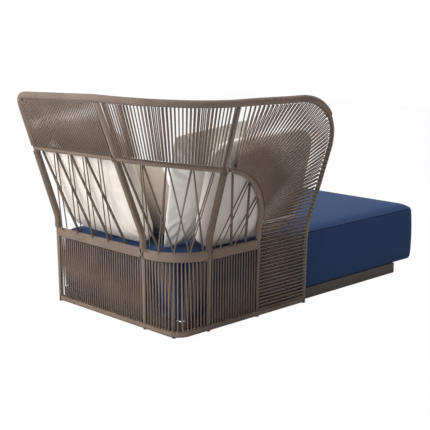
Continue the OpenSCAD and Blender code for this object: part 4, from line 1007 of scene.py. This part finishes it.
def spun(angle, i, j):
    """A turn by an angle in the plane of the axes i and j."""
    turn = np.eye(3)
    turn[i, i] = turn[j, j] = np.cos(angle)
    turn[j, i], turn[i, j] = np.sin(angle), -np.sin(angle)
    return turn


def leaned(points, place, turn, lean, roll):
    """Rolls about Y, leans about X and turns about Z, in that order, then moves to its place."""
    turn, lean, roll = np.radians([turn, -lean, roll])
    return points @ (spun(turn, 0, 1) @ spun(lean, 1, 2) @ spun(roll, 2, 0)).T + np.array(place)


def places(mesh):
    """The places of a mesh's points as rows of three numbers."""
    found = np.zeros(len(mesh.vertices) * 3, np.float32)
    mesh.vertices.foreach_get("co", found)
    return found.reshape(-1, 3)


def puffed(piece, pressure, down, frames=20, cap=0.014):
    """Blows the piece up with Cloth and no gravity, caps how far it moves and sets it down again."""
    before = places(piece.data)
    cloth = piece.modifiers.new("cloth", "CLOTH")
    cloth.settings.use_pressure = True
    cloth.settings.uniform_pressure_force = pressure
    cloth.settings.effector_weights.gravity = 0
    cloth.settings.quality = 5
    cloth.point_cache.frame_end = frames
    for number in range(1, frames + 1):
        bpy.context.scene.frame_set(number)
    move = places(piece.evaluated_get(bpy.context.evaluated_depsgraph_get()).data) - before
    piece.modifiers.remove(cloth)
    size = np.linalg.norm(move, axis=1, keepdims=True)
    shaped = before + move * np.minimum(1, cap / np.maximum(size, 1e-9))
    risen = shaped[:, 2].min() - before[:, 2].min()
    shaped = shaped - down * (risen / down[2])
    piece.data.vertices.foreach_set("co", shaped.astype(np.float32).ravel())
    piece.data.update()
    bpy.context.scene.frame_set(1)
    print(f"{piece.name}: moved {1000 * size.max():.0f} mm, kept {1000 * cap:.0f}, "
          f"had risen {1000 * risen:.1f}")


# %% Make the cushions
# The power in the thickness (less is fuller), how round the corners are, how high the folds stand.
BOXED, LOOSE, CREASED = (0.3, 0.17, 2.2), (0.42, 0.07, 2.4), (0.42, 0.07, 8.5)
FLAT_SHARE, THICK_SHARE, LIFT_SHARE = 0.985, 0.86, 0.0075   # the size that it is blown up from
# Each: place, turn, lean, roll, (width, height, thickness behind and in front, form), finish, fill.
CUSHIONS = {
    "back_cushion": ((571, -104, CROWN_Z - 15.4), 0, 21.5, -2, (700, 650, 50, 70, *BOXED),
                     cream_weave, "cream_cloth", 0.8),
    "side_cushion": ((74, -485, CROWN_Z - 15.5), 90, 16.5, 2, (720, 575, 48, 60, *BOXED),
                     cream_weave, "cream_cloth", 0.8),
    "tan_pillow": ((435, -268, CROWN_Z - 10.1), 0, 21, 0, (430, 430, 40, 50, *LOOSE),
                   tan_weave, "tan_cloth", 0.7),
    "white_pillow": ((184, -300, CROWN_Z - 0.4), 90, 16, 6, (480, 600, 35, 45, *CREASED),
                     white_linen, "white_cloth", 0.5),
}


def cushion_piece(name, place, turn, lean, roll, size, material, slot_name, fill):
    """Two grids back to back, merged along the seam, then puffed up."""
    w, h, back_t, front_t, fullness, rounded, folds = size
    front, rear = pillow(w * FLAT_SHARE, h * FLAT_SHARE, back_t * THICK_SHARE, front_t * THICK_SHARE,
                         fullness, rounded, folds)
    both = np.stack([front.transpose(1, 0, 2), rear.transpose(1, 0, 2)[:, ::-1]])
    points = leaned(both + [0, 0, h * LIFT_SHARE], place, turn, lean, roll)
    piece = grid_piece(name + "_stuffed", points, both[..., [0, 2]] / 1000, material,
                       closed=False, caps=False, stands_for=[name])
    print("open edges:", close_mesh(piece))
    puffed(piece, 4.0, leaned(np.array([0.0, 0.0, -1.0]), (0, 0, 0), turn, lean, roll))
    piece.modifiers.new("soften", "SUBSURF").levels = 1
    piece.modifiers["soften"].render_levels = 1


for name, facts in CUSHIONS.items():
    cushion_piece(name, *facts)

# %% [markdown]
# ## Floor, light and backdrop
# The photograph has a white studio: no horizon and hardly a shadow. The floor glows white to the
# camera only and stays a plain pale surface to the light, so no extra light falls on the object.
# Large soft lamps stand above and to the left, a weak one among them low down, and the right side
# is left in soft shade.
# %% Studio
CAMERA_WHITE = 0.975   # the share of the floor that camera rays see as white


def studio_floor():
    """A wide plane; camera rays see mostly white, other rays a pale diffuse surface."""
    mesh = bpy.data.meshes.new("studio_floor")
    mesh.from_pydata([(-9, -9, 0), (9, -9, 0), (9, 9, 0), (-9, 9, 0)], [], [(0, 1, 2, 3)])
    floor = bpy.data.objects.new("studio_floor", mesh)
    bpy.context.scene.collection.objects.link(floor)
    material = bpy.data.materials.new("white_studio_floor")
    material.use_nodes = True
    tree = material.node_tree
    tree.nodes.clear()
    seen = node(tree, "LightPath").outputs["Is Camera Ray"]
    share = node(tree, "Math", {0: seen, 1: CAMERA_WHITE}, operation="MULTIPLY")
    plain = node(tree, "BsdfDiffuse", Color="#e8e8e8")
    mix = node(tree, "MixShader", {0: share, 1: plain, 2: node(tree, "Emission", Strength=1.0)})
    node(tree, "OutputMaterial", {"Surface": mix})
    mesh.materials.append(material)


def soft_lamp(name, place, target, size, power):
    """A square area lamp at a place, turned to a target; its watts spread over its size."""
    lamp = bpy.data.objects.new(name, bpy.data.lights.new(name, "AREA"))
    lamp.data.size, lamp.data.energy = size, power
    lamp.location = place
    lamp.rotation_euler = (Vector(target) - Vector(place)).to_track_quat("-Z", "Y").to_euler()
    bpy.context.scene.collection.objects.link(lamp)
    return lamp


studio_floor()
soft_lamp("key", (1.6, 4.2, 3.0), (-0.2, 0.3, 0.5), 2.6, 185)
soft_lamp("top", (0.2, -0.6, 3.8), (0, -0.3, 0.3), 3.2, 75)
soft_lamp("low_fill", (-1.6, 4.4, 0.9), (-0.1, 0.5, 0.6), 1.8, 36)
world = bpy.data.worlds.new("white_studio")
bpy.context.scene.world = world
world.use_nodes = True
tree = world.node_tree
tree.nodes.clear()
rays = node(tree, "LightPath").outputs
seen = node(tree, "Math", {0: rays["Is Camera Ray"], 1: rays["Is Glossy Ray"]}, operation="MAXIMUM")
strength = node(tree, "MapRange", {"Value": seen}, To_Min=0.26, To_Max=1.02)
shine = node(tree, "Background", {"Strength": strength}, Color="#ffffff")
node(tree, "OutputWorld", {"Surface": shine})
bpy.context.scene.view_settings.view_transform = "Standard"
print("lamps", [(light.name, light.energy) for light in bpy.data.lights])
